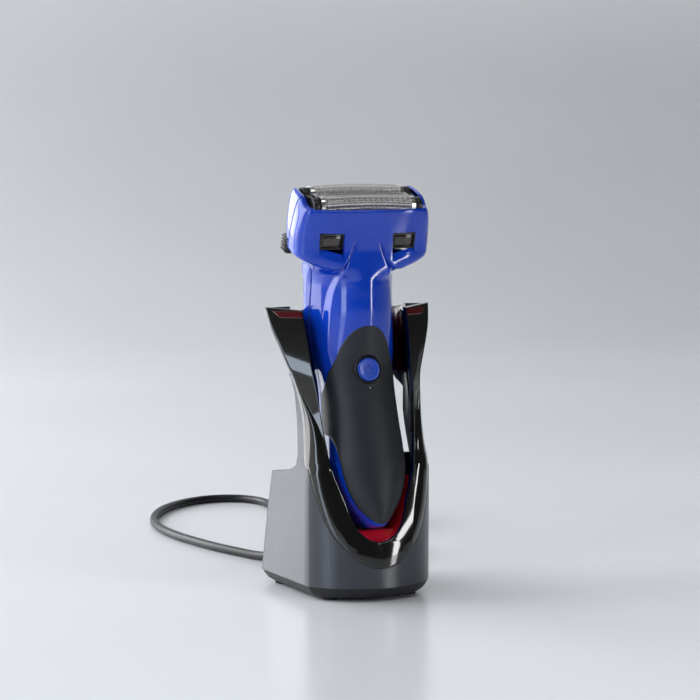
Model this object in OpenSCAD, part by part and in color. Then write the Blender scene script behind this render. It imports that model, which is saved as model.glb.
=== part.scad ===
// Foil shaver standing in its charging stand, with the stand's lead and mains adapter.
// +Z is up, the shaver faces -Y, and the origin is on the counter under the stand's middle.

/* [Stand] */
// Depth of the stand from its front apex to its back
stand_d = 76; // [74:1:78]
// Half width of the stand at its front creases
stand_w = 30; // [29:0.5:31]
// Height of the wing tips
wing_z = 133; // [132:0.5:134]
// Wall thickness of the stand's shell
stand_wall = 2.4; // [2:0.1:2.8]
// Thickness of the glossy bezel
bezel_t = 2; // [1.6:0.1:2.4]
// Height of the rear block that holds the lead's inlet
block_z = 53; // [51:0.5:55]

/* [Handset] */
// Backward lean of the handset in its cradle
lean = 12.3; // [12:0.1:12.6]
// Forward tilt of the shaving head from the upright
head_tilt = 18.4; // [18:0.1:18.8]
// Wall thickness of the handset's shells
wall = 1.6; // [1.4:0.1:1.8]
// How far the rubber panel stands proud of the front shell
panel_t = 0.5; // [0.3:0.1:0.6]
// Diameter of the power button
button_d = 10.6; // [10:0.1:11]

/* [Shaving head] */
// Length of each outer foil
foil_len = 46; // [44:1:48]
// Outer radius of each foil's arch
foil_r = 4.3; // [4.2:0.1:4.4]
// Distance between the two foils
foil_pitch = 14; // [13.8:0.1:14]
// Stroke of the linear motor to each side
stroke = 1.2; // [0.8:0.1:1.3]

/* [Lead and adapter] */
// Diameter of the lead
cord_d = 4.4; // [4.2:0.1:4.6]
// Diameter of the coil at the middle of its turns
coil_d = 48; // [46:1:50]
// Length of the adapter's case
adapter_l = 54; // [50:1:58]

/* [Hidden] */
$fn = 48;

// The stand's depth is counted from its front apex; y0 moves that scale to the origin.
y0 = stand_d / 2;
foot_h = 1.6;
plate_z = 6.4;
handset_at = [0, 22 - y0, 30];
head_at = [0, 31.5 - y0, 155];
head_mid = 4.6;
eps = 0.02;

// Smooth value at x from rows of [x, value, ...], by cubic Hermite pieces.
function seg(t, x, i = 0) = (i >= len(t) - 2 || x < t[i + 1][0]) ? i : seg(t, x, i + 1);
function slope(t, i, c) = let (a = max(0, i - 1), b = min(len(t) - 1, i + 1))
    (t[b][c] - t[a][c]) / (t[b][0] - t[a][0]);
function at(t, x, c = 1) = let (
    i = seg(t, x), h = t[i + 1][0] - t[i][0], u = min(1, max(0, (x - t[i][0]) / h)),
    m0 = slope(t, i, c) * h, m1 = slope(t, i + 1, c) * h)
    (2 * u^3 - 3 * u^2 + 1) * t[i][c] + (u^3 - 2 * u^2 + u) * m0
    + (3 * u^2 - 2 * u^3) * t[i + 1][c] + (u^3 - u^2) * m1;

// Closed solid through equal rings that each run anticlockwise seen from the last ring.
module loft(rings) {
    n = len(rings[0]);
    m = len(rings);
    first = [for (k = [0:2]) sum([for (p = rings[0]) p[k]]) / n];
    last = [for (k = [0:2]) sum([for (p = rings[m - 1]) p[k]]) / n];
    pts = concat([for (r = rings) for (p = r) p], [first, last]);
    polyhedron(pts, concat(
        [for (j = [0:m - 2]) for (i = [0:n - 1]) let (k = (i + 1) % n)
            [j * n + i, (j + 1) * n + i, j * n + k]],
        [for (j = [0:m - 2]) for (i = [0:n - 1]) let (k = (i + 1) % n)
            [j * n + k, (j + 1) * n + i, (j + 1) * n + k]],
        [for (i = [0:n - 1]) [m * n, i, (i + 1) % n]],
        [for (i = [0:n - 1]) [m * n + 1, (m - 1) * n + (i + 1) % n, (m - 1) * n + i]]));
}
function sum(v, i = 0) = i < len(v) ? v[i] + sum(v, i + 1) : 0;

// A YZ outline carried along X from -w to w; its points are [depth, height].
module side(points, w) {
    translate([-w, -y0, 0]) rotate([90, 0, 90]) linear_extrude(2 * w) polygon(points);
}

/* Stand outlines */
// Half width at the crease, and the rear outline, by height.
crease_w = [[0, stand_w], [62, stand_w], [72, 29.3], [82, 29], [92, 29.9], [101, 31.6],
    [107, 33.7], [115, 36.4], [123, 39], [132, 40.6], [140, 41.5]];
rear_y = [[0, stand_d], [6, stand_d - 0.4], [block_z, 72], [62, 68], [80, 60], [100, 55.5],
    [116, 58], [132, 62.5], [140, 65]];
rear_w = [[0, 33.2], [6, 33], [block_z, 29], [62, 27.5], [80, 26.5], [100, 26.5], [116, 27],
    [132, 28], [140, 28]];
// Depth of the bezel's face on the centre line, by height; off the line it bows back
// by the square of x over bow_by_z.
face_y = [[0, -1], [12, -0.3], [15.4, 0], [17.2, 0.2], [22.6, 0.8], [30.7, 2.2], [38, 3.8],
    [43.8, 5.2], [50, 6.6], [60, 9], [67, 11.8], [80, 16], [92, 20], [104.5, 26.4], [117, 31.6],
    [122, 33.8], [131.5, 38], [140, 41.6]];
bow_by_z = [[0, 100], [67, 100], [80, 110], [92, 125], [104.5, 180], [117, 280], [132, 380],
    [140, 400]];
// Outline of the bezel's lower end, as [half width, height].
bezel_u = [[0, 15.4], [4, 15.8], [8, 17.2], [11.5, 19.6], [14.8, 22.6], [18.4, 26.4], [21.6, 30.7],
    [24.4, 36.6], [26.5, 43.8], [28.2, 50.6], [29.4, 58], [31, 66], [46, 68]];
// Half width of the cradle's opening, by height.
mouth_z = 27.2;
mouth_w = [[mouth_z, 0.6], [28, 3.8], [30, 7.4], [34, 10.8], [40, 14.1], [46, 16], [52, 18.2],
    [60, 20.9], [72, 23], [84, 24.4], [99, 25.6], [111, 26.4], [124, 27], [132, 27.4], [140, 27.8]];
arc_a = 59;

// Half outline of the stand at height z, drawn in by t, from the front apex round to the back.
function face(x, z) = at(face_y, z) + x^2 / at(bow_by_z, z);
function stand_half(z, t) = let (
    w = at(crease_w, z) - t, yc = max(17, face(w, z) - 0.6), yf = min(0, yc - 17) + t,
    ws = at(rear_w, z) - t, yr = at(rear_y, z) - t, rc = 7)
    concat(
        [for (i = [0:8]) let (a = arc_a * i / 8)
            [w * sin(a) / sin(arc_a), yf + (yc - yf) * (1 - cos(a)) / (1 - cos(arc_a))]],
        [for (i = [1:3]) let (u = i / 3) [w + (ws - w) * u, yc + (yr - rc - yc) * u]],
        [for (i = [1:4]) let (a = 90 * i / 4)
            [ws - rc * (1 - cos(a)), yr - rc + rc * sin(a)]],
        [[(ws - rc) / 2, yr + (z > 98 ? 0.5 : 0)]]);
function stand_ring(z, t) = let (h = stand_half(z, t), m = len(h)) concat(
    [for (p = h) [p[0], p[1] - y0, z]],
    [for (i = [m - 1:-1:1]) [-h[i][0], h[i][1] - y0, z]]);
module stand_loft(z0, z1, t, steps) {
    loft([for (i = [0:steps]) stand_ring(z0 + (z1 - z0) * i / steps, t)]);
}

// Everything behind the bezel's face moved back by d.
module behind_face(d) {
    nx = 12;
    nz = 26;
    zs = [for (j = [0:nz]) 5 + 130 * j / nz];
    loft([for (z = zs) concat(
        [for (i = [0:nx]) let (x = -46 + 92 * i / nx) [x, face(x, z) + d - y0, z]],
        [[46, 110 - y0, z], [-46, 110 - y0, z]])]);
}

// The cradle's opening as a tube that runs back, grown by t.
module mouth(t) {
    nz = 30;
    loft([for (j = [0:nz]) let (
        u = j / nz, z = mouth_z + (136 - mouth_z) * u^1.5 - (j == 0 ? t : 0), w = at(mouth_w, z) + t)
        [[-w, -60, z], [w, -60, z], [w, 60, z], [-w, 60, z]]]);
}

// Side view of what the stand keeps behind its face: columns, window and collar.
window_front = [[61, 31.5], [82, 36.5], [97, 39.5]];
function stand_side() = concat(
    [[-6, plate_z], [-6, 136], [34, 134.5], [64, 128], [62, 104], [60, 101], [46, 99], [42.5, 96.5]],
    [for (i = [8:-1:0]) let (z = 61 + 33 * i / 8) [at(window_front, z), z]],
    [[32.3, 57], [35, 54.4], [40, block_z], [66, block_z], [70.5, 51], [73, 47], [80, plate_z]]);

module bezel_zone(t) {
    h = [for (p = bezel_u) [p[0] > 0 ? p[0] + t : 0, p[1] - (p[0] < 30 ? t : 0)]];
    m = len(h);
    translate([0, 60, 0]) rotate([90, 0, 0]) linear_extrude(120)
        polygon(concat(h, [[46, 133.6], [27, 127], [-27, 127], [-46, 133.6]],
            [for (i = [m - 1:-1:1]) [-h[i][0], h[i][1]]]));
}

module stand_shell() {
    color([0.16, 0.18, 0.24]) resize([0, 0, 0]) difference() {
        intersection() {
            stand_loft(plate_z, wing_z, 0, 40);
            union() {
                side(stand_side(), 50);
                side([[30, 50], [30, 106], [80, 106], [80, 50]], 15);
            }
        }
        difference() {
            translate([-50, -60, 10]) cube([100, 160, 140]);
            behind_face(bezel_t);
            difference() {
                translate([-51, -61, 9]) cube([102, 162, 60]);
                bezel_zone(0);
            }
        }
        difference() {
            stand_loft(plate_z - 1, wing_z + 1, stand_wall, 30);
            side([[30, block_z - stand_wall], [90, block_z - stand_wall], [90, 60], [30, 60]], 50);
            side([[-10, 131], [34, 130], [70, 123], [70, 140], [-10, 140]], 50);
        }
        cup(1.45, 140);
        relief_hole();
    }
}

module stand_bezel() {
    color([0.02, 0.02, 0.025]) resize([0, 0, 0]) difference() {
        intersection() {
            stand_loft(14.5, wing_z, 0, 40);
            behind_face(0);
            bezel_zone(-0.1);
        }
        behind_face(bezel_t);
        mouth(0);
    }
}

module lean() {
    translate(handset_at) rotate([-lean, 0, 0]) children();
}
module head() {
    translate(head_at) rotate([head_tilt, 0, 0]) children();
}

// Solid that the liner follows: the handset's path grown sideways, open to the front.
cup_back = 11.2;
function cup_ring(z, t) = let (w = at(mouth_w, z) + t,
    yb = 22 + (cup_back + (z - 30) * sin(lean)) / cos(lean) + t, r = min(w - 0.3, 12 + t))
    concat(
        [[-w, -20 - y0, z], [w, -20 - y0, z]],
        [for (i = [0:5]) let (a = 90 * i / 5) [w - r + r * cos(a), yb - r + r * sin(a) - y0, z]],
        [for (i = [5:-1:0]) let (a = 90 * i / 5) [-w + r - r * cos(a), yb - r + r * sin(a) - y0, z]]);
module cup(t, z1) {
    nz = 28;
    loft([for (j = [0:nz]) let (z = mouth_z + 0.1 + (z1 - mouth_z) * (j / nz)^1.4)
        cup_ring(z, t)]);
}
module cradle_liner() {
    color([0.75, 0.04, 0.03]) resize([0, 0, 0]) difference() {
        intersection() {
            union() {
                cup(1.3, wing_z - 1.6);
                side([[5.5, 24], [34, 24], [34, 40], [5.5, 34]], 14);
            }
            behind_face(bezel_t + 0.05);
            union() {
                side([[-6, 20], [-6, 55], [31, 55], [34, 51], [33, 24]], 50);
                side([[28, 101], [28, 133.6], [60, 127.6], [58, 103], [46, 101]], 50);
            }
        }
        difference() {
            cup(0, 140);
            side([[-20, 20], [40, 20], [40, 27.6], [30, 27.6], [19, 29.6], [10, 29.6], [4.5, mouth_z + 0.2],
                [-20, mouth_z + 0.2]], 50);
        }
        lean() translate([0, -4.5, 0]) cube([14.6, 10.6, 40], center = true);
    }
}

module base_plate() {
    color([0.05, 0.05, 0.06]) resize([0, 0, 0])
        loft([stand_ring(foot_h, 4.2), stand_ring(2.6, 2.6), stand_ring(4.6, 1.2),
            stand_ring(plate_z - 0.05, 0.3)]);
}

foot_at = [[19, 17], [-19, 17], [24, 64], [-24, 64]];
module stand_feet() {
    color([0.03, 0.03, 0.03]) for (p = foot_at)
        translate([p[0], p[1] - y0, 0]) cylinder(r = 4.2, h = foot_h);
}

screw_at = [[12, 30], [-12, 30], [12, 60], [-12, 60]];
module stand_screws() {
    color("silver") for (p = screw_at) translate([p[0], p[1] - y0, 0.9]) {
        difference() {
            cylinder(r = 2.4, h = foot_h - 0.9);
            translate([0, 0, -1]) cylinder(r = 0.9, h = 1.4, $fn = 6);
        }
    }
}

module contact_block() {
    color([0.1, 0.1, 0.1]) lean() difference() {
        union() {
            translate([-7, -9.5, -12]) cube([14, 10, 11.7]);
            translate([-5, -8, -0.4]) cube([10, 7, 4.1]);
        }
        for (x = [-2.5, 2.5]) translate([x, -4.5, -13]) cylinder(r = 0.85, h = 20);
    }
}
module contact_pins() {
    color("silver") lean() for (x = [-2.5, 2.5]) translate([x, -4.5, -10]) cylinder(r = 0.8, h = 17.5);
}

/* Lead and adapter */
cord_r = cord_d / 2;
exit_x = -8;
exit_z = 10.5;
relief_l = 22;
module relief_hole() {
    translate([exit_x, 60 - y0, exit_z]) rotate([-90, 0, 0]) cylinder(r = 3.7, h = 30);
}
module cord_relief() {
    color([0.04, 0.04, 0.04]) translate([exit_x, stand_d - 5 - y0, exit_z]) rotate([-90, 0, 0]) {
        cylinder(r = 3.6, h = 5.5);
        translate([0, 0, 5.5]) cylinder(r1 = 3.6, r2 = cord_r + 0.3, h = relief_l - 5.5);
    }
}
// The lead's route as [x, depth, z]: out of the relief, round behind the stand, to the coil.
route = [[-8, 93, 10.5], [-8, 100, 9.6], [-9, 108, 6.6], [-11, 118, 3.4], [-15, 130, 2.2],
    [-20, 145, 2.2], [-25, 162, 2.2], [-29, 182, 2.2], [-32, 204, 2.2], [-32, 228, 2.2],
    [-28, 252, 2.2], [-20, 274, 2.2], [-8, 294, 2.2], [8, 310, 2.2], [26, 318, 2.2],
    [42, 314, 2.2], [50, 300, 2.2], [50, 282, 2.2], [44, 260, 2.2], [36, 238, 2.2],
    [27, 214, 2.2], [17, 190, 2.2], [8, 166, 2.2], [4, 150, 2.2], [3, 136, 2.2]];
// From the coil to the adapter.
route_out = [[61, 136, 2.2], [62, 148, 2.2], [65, 160, 2.4], [68, 172, 4.6], [70, 184, 8.4],
    [70, 192, 10]];
coil_at = [32, 134];
coil_rows = 3;
adapter_at = [70, 206];
adapter_w = 30;
adapter_h = 27;
adapter_exit_z = 10;

function hermite(a, b, c, d, u) = let (m0 = (c - a) / 2, m1 = (d - b) / 2)
    (2 * u^3 - 3 * u^2 + 1) * b + (u^3 - 2 * u^2 + u) * m0 + (3 * u^2 - 2 * u^3) * c
    + (u^3 - u^2) * m1;
function path(p, steps) = let (n = len(p)) concat(
    [for (i = [0:n - 2]) for (k = [0:steps - 1])
        hermite(p[max(0, i - 1)], p[i], p[i + 1], p[min(n - 1, i + 2)], k / steps)], [p[n - 1]]);
function unit(v) = v / norm(v);
module sweep(p, r, sides) {
    n = len(p);
    loft([for (i = [0:n - 1]) let (
        t = unit(p[min(n - 1, i + 1)] - p[max(0, i - 1)]), s = unit(cross(t, [0, 0, 1])),
        q = cross(s, t))
        [for (k = [0:sides - 1]) let (a = 360 * k / sides)
            p[i] + r * (cos(a) * s + sin(a) * q) - [0, y0, 0]]]);
}
module cord_tube() {
    color([0.03, 0.03, 0.03]) {
        sweep(path(route, 2), cord_r, 10);
        sweep(path(route_out, 2), cord_r, 10);
    }
}
module cord_coil() {
    color([0.03, 0.03, 0.03]) translate([coil_at[0], coil_at[1] - y0, 0]) rotate_extrude()
        translate([coil_d / 2 - coil_rows * cord_d / 2, 0])
            square([coil_rows * cord_d, coil_rows * cord_d - 0.4]);
}
module cord_tie() {
    w = coil_rows * cord_d;
    color([0.02, 0.02, 0.02]) translate([coil_at[0] - 3, coil_at[1] - y0 + coil_d / 2 - w / 2 - 0.9, 0])
        difference() {
            translate([0, 0, eps]) cube([6, w + 1.8, w + 0.6]);
            translate([-1, 0.6, -1]) cube([8, w + 0.6, w + 0.7]);
        }
}
module adapter_relief() {
    color([0.04, 0.04, 0.04]) translate([adapter_at[0], adapter_at[1] - y0 + 2, adapter_exit_z])
        rotate([90, 0, 0]) {
            cylinder(r = 3.8, h = 4);
            translate([0, 0, 4]) cylinder(r1 = 3.8, r2 = cord_r + 0.3, h = 14);
        }
}
module adapter_body() {
    r = 5;
    color([0.05, 0.05, 0.05]) difference() {
        translate([adapter_at[0], adapter_at[1] - y0, 0]) hull()
            for (x = [-1, 1]) for (y = [r, adapter_l - r])
                translate([x * (adapter_w / 2 - r), y, 0]) cylinder(r = r, h = adapter_h, $fn = 32);
        translate([adapter_at[0], adapter_at[1] - y0 - 1, adapter_exit_z]) rotate([-90, 0, 0])
            cylinder(r = 3.85, h = 4);
        for (x = [-9.5, 9.5]) translate([adapter_at[0] + x, adapter_at[1] - y0 + adapter_l - 6, 14])
            rotate([-90, 0, 0]) cylinder(r = 1.65, h = 8);
    }
}
module adapter_pins() {
    color("silver") for (x = [-9.5, 9.5])
        translate([adapter_at[0] + x, adapter_at[1] - y0 + adapter_l - 6, 14])
            rotate([-90, 0, 0]) {
                cylinder(r = 1.6, h = 6);
                translate([0, 0, 6]) cylinder(r = 2, h = 19);
            }
}

/* Handset outlines */
// Rows of [s, depth, height, tilt, half width, front, rear, front exponent, rear exponent]:
// a section's centre, its forward tilt, and its reach to each side of the centre.
function body_row(z, a, bf, br, nf, nr) = [z,
    22 - 4.5 * cos(lean) + z * sin(lean), 30 + 4.5 * sin(lean) + z * cos(lean), -lean,
    a, bf, br, nf, nr];
function head_row(s, z, yf, yr, a, nf, nr) = let (ym = (yf + yr) / 2, b = (yr - yf) / 2) [s,
    31.5 + ym * cos(head_tilt) - z * sin(head_tilt),
    155 + ym * sin(head_tilt) + z * cos(head_tilt), head_tilt, a, b, b, nf, nr];
SKIN = [
    body_row(0, 4, 17, 10, 2.2, 2.4), body_row(1.5, 6, 18, 11.5, 2.2, 2.4),
    body_row(6, 9.6, 19.4, 13, 2.2, 2.5), body_row(15, 15.2, 20.5, 14.2, 2.2, 2.6),
    body_row(27, 18.6, 20.4, 14.5, 2.2, 2.7), body_row(36, 18, 19.6, 14.5, 2.2, 2.7),
    body_row(52, 16.9, 17.8, 14.5, 2.2, 2.7), body_row(71, 17, 15.4, 14.5, 2, 2.7),
    [81, 36.9, 109.7, -9, 19.2, 19.3, 12.8, 1.8, 2.8], [92, 40.2, 120.7, -5, 21, 23.6, 11.8, 1.65, 2.7],
    [101, 41.6, 130, -1, 21.6, 25.6, 11.8, 1.6, 2.6], [110, 42, 139.2, 4, 21.6, 26, 11.2, 1.6, 2.6],
    [118, 40.8, 146.9, 9.5, 21.4, 25, 11.2, 1.6, 2.6], [123.5, 37, 151.3, 15, 21.6, 21.2, 12.6, 1.7, 2.8],
    head_row(126, -1.6, -14.6, 14.6, 23.4, 2.2, 3), head_row(129, 1, -13.8, 14, 29, 2.6, 3.2),
    head_row(131.5, 3.4, -13, 14.6, 32.6, 2.8, 3.4), head_row(136, 8, -11.8, 15.6, 33.3, 3, 3.6),
    head_row(142, 14, -10.8, 16.8, 33.2, 3.4, 4), head_row(149, 21, -9.8, 18.6, 32.2, 4.4, 4.6),
    head_row(153, 24.8, -9.5, 19.2, 31, 5, 5), head_row(154.8, 26.4, -9.2, 19, 29.8, 5.4, 5.4)];
skin_end = 154.8;
function pow_s(v, e) = sign(v) * pow(abs(v), e);
function skin_point(s, a, t) = let (
    r = [for (c = [0:8]) c == 0 ? s : at(SKIN, s, c)], b = (sin(a) < 0 ? r[5] : r[6]) + t,
    n = sin(a) < 0 ? r[7] : r[8], x = (r[4] + t) * pow_s(cos(a), 2 / n),
    d = b * pow_s(sin(a), 2 / n))
    [x, r[1] + d * cos(r[3]) - y0, r[2] + d * sin(r[3])];
// The ends of an offset skin move along its own axis by the same offset.
function skin_ring(s, t, around) = [for (k = [0:around - 1]) skin_point(s, 360 * k / around, t)];
skin_s = concat([0, 1.5, 4], [for (i = [0:15]) 8 + 7 * i], [118, 121, 123.5, 125, 126, 127.5, 129,
    130.3, 131.5, 134, 138, 143, 148, 152, 153.8, skin_end]);
module skin(t, around = 44, cap = 0) {
    stations = [for (s = skin_s) if (t >= 0 || s >= 3) s];
    up = [0, -sin(head_tilt), cos(head_tilt)];
    loft(concat([for (s = stations) skin_ring(s, t, around)],
        cap > 0 ? [[for (p = skin_ring(skin_end, t, around)) p + cap * up]] : []));
}
// Side view of the front shell's share, [depth, height].
function front_side(d) = [[-30, 20], [21 + d, 20], [36 + d, 98], [38.6 + d, 126], [37.4 + d, 146],
    [34.5 + d, 156], [34.5 + d - 29 * tan(head_tilt), 185], [-30, 190]];
function panel_half() = [[0, 35.8], [3, 36.6], [6.4, 39.2], [10, 43.5], [13, 49.5], [15, 56.5],
    [15.9, 63], [16.4, 70], [18.2, 76], [24, 80], [24, 98.6], [17.6, 102], [15.2, 105], [13.6, 109],
    [12.2, 113.5], [10.2, 118], [7.4, 121.8], [4, 124], [0, 124.8]];
module panel_outline(t) {
    h = panel_half();
    m = len(h);
    translate([0, 60, 0]) rotate([90, 0, 0]) linear_extrude(120)
        offset(delta = t) polygon(concat(h, [for (i = [m - 2:-1:1]) [-h[i][0], h[i][1]]]));
}

button_z = 72;
lamp_z = 63.6;
button_r = button_d / 2;
seal_r = button_r + 1.3;
module along_y(y, z, h, r) {
    translate([0, y, z]) rotate([-90, 0, 0]) cylinder(r = r, h = h);
}
module button_cut(r) {
    lean() along_y(-26, button_z, 14, r);
}
window_x = 17.6;
window_z = 12;
window_size = [11.4, 7.4];
module window_cut(t) {
    head() for (s = [-1, 1]) translate([s * window_x, -12, window_z])
        cube([window_size[0] + t, 12, window_size[1] + t], center = true);
}
release_y = 8.5;
release_zh = 4.6;
release_size = [7, 8];
module release_cut(t) {
    head() translate([0, release_y, release_zh])
        cube([80, release_size[0] + t, release_size[1] + t], center = true);
}
trimmer_y = 51;
trimmer_z = 133;
trimmer_w = 25.2;
trimmer_h = 14;
module trimmer_cut(t) {
    translate([0, trimmer_y + 1.5 - y0, trimmer_z + trimmer_h / 2 - 0.4])
        cube([trimmer_w + t, 9, trimmer_h + t + 0.8], center = true);
}

module front_shell() {
    color([0.02, 0.09, 0.55]) resize([0, 0, 0]) difference() {
        intersection() {
            skin(0);
            side(front_side(-0.1), 40);
        }
        skin(-wall, 36, 1);
        head() translate([0, head_mid, 20.3]) frame_block(0.1, 12);
        button_cut(seal_r + 0.1);
        lean() along_y(-26, lamp_z, 14, 1.05);
        window_cut(0.2);
        release_cut(0.4);
        socket_cut(0.2);
    }
}
module rear_shell() {
    color([0.02, 0.08, 0.5]) resize([0, 0, 0]) difference() {
        skin(0);
        side(front_side(0.1), 40);
        skin(-wall, 36, 1);
        release_cut(0.4);
        trimmer_cut(0.4);
        socket_cut(0.2);
        lean() for (z = [16, 70]) along_y(4, z, 20, 1.6);
    }
}
module grip_panel() {
    color([0.06, 0.065, 0.075]) resize([0, 0, 0]) difference() {
        intersection() {
            skin(panel_t, 60);
            side(front_side(-0.6), 40);
            panel_outline(0);
        }
        skin(0.03, 60);
        button_cut(seal_r + 0.1);
        lean() along_y(-26, lamp_z, 14, 1.05);
    }
}
module button_seal() {
    color([0.02, 0.02, 0.02]) lean() difference() {
        along_y(-20.7, button_z, 2.8, seal_r);
        along_y(-22, button_z, 6, button_r + 0.2);
    }
}
module power_button() {
    color([0.02, 0.12, 0.75]) lean() {
        along_y(-21.2, button_z, 1.8, button_r);
        along_y(-19.4, button_z, 3.8, 1.6);
    }
}
module button_spring() {
    color("silver") lean() difference() {
        along_y(-18.7, button_z, 1.2, 3.6);
        along_y(-20, button_z, 3.4, 2.6);
    }
}
module charge_lamp() {
    color([0.5, 0.8, 0.5]) lean() along_y(-21, lamp_z, 6.6, 0.95);
}
module inner_chassis() {
    color([0.25, 0.25, 0.27]) lean() {
        difference() {
            translate([-9.6, -10.8, 13]) cube([19.2, 1.2, 62]);
            for (z = [28, 46]) translate([-5, -12, z]) cube([10, 4, 12]);
        }
        difference() {
            union() {
                translate([-12.4, -7, 74.2]) cube([24.8, 12.2, 3.2]);
                translate([-8, -12.4, 74.2]) cube([16, 6, 3.2]);
            }
            translate([-7, -9, 73]) cube([14, 10, 6]);
        }
    }
}
module battery() {
    color([0.15, 0.45, 0.25]) lean() {
        translate([0, -1.8, 15]) cylinder(r = 7.15, h = 50);
        translate([0, -1.8, 65]) cylinder(r = 2.6, h = 1.2);
    }
}
module circuit_board() {
    color([0.05, 0.3, 0.12]) lean() {
        translate([-8, -13, 16]) cube([16, 1.2, 57.6]);
        translate([-4, -11.8, 50]) cube([8, 0.9, 8]);
        for (z = [20, 30]) translate([-5.4, -14.2, z]) cube([4.6, 1.2, 6]);
    }
}
module tact_switch() {
    color([0.3, 0.3, 0.3]) lean() {
        translate([-3, -14.4, button_z - 3]) cube([6, 1.4, 6]);
        along_y(-14.9, button_z, 0.6, 1.7);
    }
}
module socket_cut(t) {
    lean() translate([0, -4.5, 1]) cube([12.6 + t, 9.2 + t, 12], center = true);
}
module socket_insert() {
    color([0.08, 0.08, 0.08]) lean() difference() {
        translate([-6.2, -9, 0.5]) cube([12.4, 9, 10.5]);
        translate([-5.3, -8.3, -1]) cube([10.6, 7.6, 9.5]);
        for (x = [-2.5, 2.5]) translate([x, -4.5, -1]) cylinder(r = 1.1, h = 20);
    }
}
module socket_pins() {
    color("silver") lean() for (x = [-2.5, 2.5]) difference() {
        translate([x, -4.5, 8.7]) cylinder(r = 1.1, h = 4);
        translate([x, -4.5, 8]) cylinder(r = 0.85, h = 3.6);
    }
}
module rear_screws() {
    color("silver") lean() for (z = [16, 70]) difference() {
        along_y(7.6, z, 1.9, 1.55);
        along_y(8.9, z, 2, 0.7);
    }
}

/* Drive */
armature_z = 98.6;
module motor_stator() {
    color([0.45, 0.3, 0.2]) lean() difference() {
        translate([-12, -14, 77.6]) cube([24, 17.6, 20]);
        translate([-13, -8.4, 92]) cube([26, 6.4, 7]);
    }
}
module motor_armature() {
    color([0.5, 0.5, 0.55]) lean() {
        translate([-8, -11, armature_z]) cube([16, 14.6, 3.4]);
        translate([-6.5, -7.8, 93]) cube([13, 5.2, 6]);
    }
}
module counterweight() {
    color([0.55, 0.5, 0.4]) lean() difference() {
        translate([-9, -14, 103]) cube([18, 19.4, 3]);
        translate([-4.6, -8, 102]) cube([9.2, 11.4, 5]);
    }
}
pin_y = 5;
module drive_pin() {
    color("silver") head() {
        translate([0, pin_y, -29]) cylinder(r = 1.6, h = 45);
        translate([-9, head_mid - 9.4, 13]) cube([18, 18.8, 2.4]);
    }
}
module drive_seal() {
    color([0.1, 0.1, 0.1]) head() difference() {
        union() {
            translate([0, pin_y, 7.4]) cylinder(r = 6.4, h = 0.8);
            translate([0, pin_y, 6.4]) cylinder(r = 4.7, h = 5);
        }
        translate([0, pin_y, 5]) cylinder(r = 3.1, h = 9);
    }
}
module hair_tray() {
    color([0.12, 0.12, 0.13]) head() difference() {
        union() {
            translate([-25, -7, 8.4]) cube([50, 18.2, 1.3]);
            for (s = [-1, 1]) translate([s * 24.4 - 0.6, -5, 9]) cube([1.2, 15, 6]);
        }
        translate([0, pin_y, 6]) cylinder(r = 4.8, h = 8);
    }
}
module inlet_windows() {
    color([0.12, 0.06, 0.03, 0.8]) head() for (s = [-1, 1])
        translate([s * window_x, -8.6, window_z]) {
            cube([window_size[0] - 0.2, 1, window_size[1] - 0.2], center = true);
            translate([0, -0.3, 1.4]) cube([window_size[0] - 1.6, 1.2, 1.1], center = true);
        }
}
module release_button(s) {
    color([0.03, 0.03, 0.035]) head() {
        translate([s * 30.4, release_y, release_zh])
            cube([5.6, release_size[0], release_size[1]], center = true);
        for (k = [-1:1]) translate([s * 33.3, release_y, release_zh + k * 2.2])
            cube([0.8, release_size[0] - 0.6, 1], center = true);
    }
}
module release_button_left() {
    release_button(-1);
}
module release_button_right() {
    release_button(1);
}
module release_springs() {
    color("silver") head() for (s = [-1, 1]) translate([s * 25.8, release_y, release_zh])
        rotate([0, s * -90, 0]) difference() {
            cylinder(r = 1.7, h = 5);
            translate([0, 0, -1]) cylinder(r = 1.1, h = 7);
        }
}

/* Foil cassette, in the head's frame */
foil_base = 20.6;
foil_c = 26.4;
foil_half = foil_len / 2;
frame_w = 27;
frame_d = 12.1;
module across(l) {
    rotate([90, 0, 90]) translate([0, 0, -l / 2]) linear_extrude(l) children();
}
module arch(r, z0) {
    translate([0, foil_c]) circle(r = r);
    translate([-r, z0]) square([2 * r, foil_c - z0]);
}
module frame_block(t, h) {
    r = 6;
    hull() for (x = [-1, 1]) for (y = [-1, 1])
        translate([x * (frame_w - r), y * (frame_d - r), 0]) cylinder(r = r + t, h = h, $fn = 32);
}
module foil_frame() {
    color([0.04, 0.04, 0.045]) intersection() {
        head() translate([0, head_mid, 0]) difference() {
            translate([0, 0, 20.5]) frame_block(0, 5.1);
            translate([-foil_half - 0.15, -foil_pitch / 2 - foil_r - 0.1, 16])
                cube([foil_len + 0.3, foil_pitch + 2 * foil_r + 0.2, 12]);
        }
        skin(-wall - 0.2, 36, 1);
    }
}
module foil_end_caps() {
    color([0.02, 0.02, 0.02]) head() for (s = [-1, 1])
        translate([s * (foil_half + 1.8), head_mid, 0]) across(2) difference() {
            union() {
                for (y = [-1, 1]) translate([y * foil_pitch / 2, foil_c]) circle(r = foil_r - 0.5);
                translate([-foil_pitch / 2, 25.7]) square([foil_pitch, 3.6]);
            }
            translate([-foil_pitch, 15]) square([2 * foil_pitch, 10.65]);
            for (y = [-1, 1]) translate([y * (foil_pitch / 2 + 6.3), foil_c])
                square([6, 1.4], center = true);
        }
}
module foil_at(s) {
    head() translate([0, head_mid + s * foil_pitch / 2, 0]) children();
}
module foil(s) {
    color([0.75, 0.75, 0.76]) foil_at(s) across(foil_len) difference() {
        arch(foil_r, foil_base);
        arch(foil_r - 0.35, foil_base - 1);
    }
}
module foil_front() {
    foil(-1);
}
module foil_rear() {
    foil(1);
}
blade_len = foil_len - 2 * stroke - 0.8;
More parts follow.
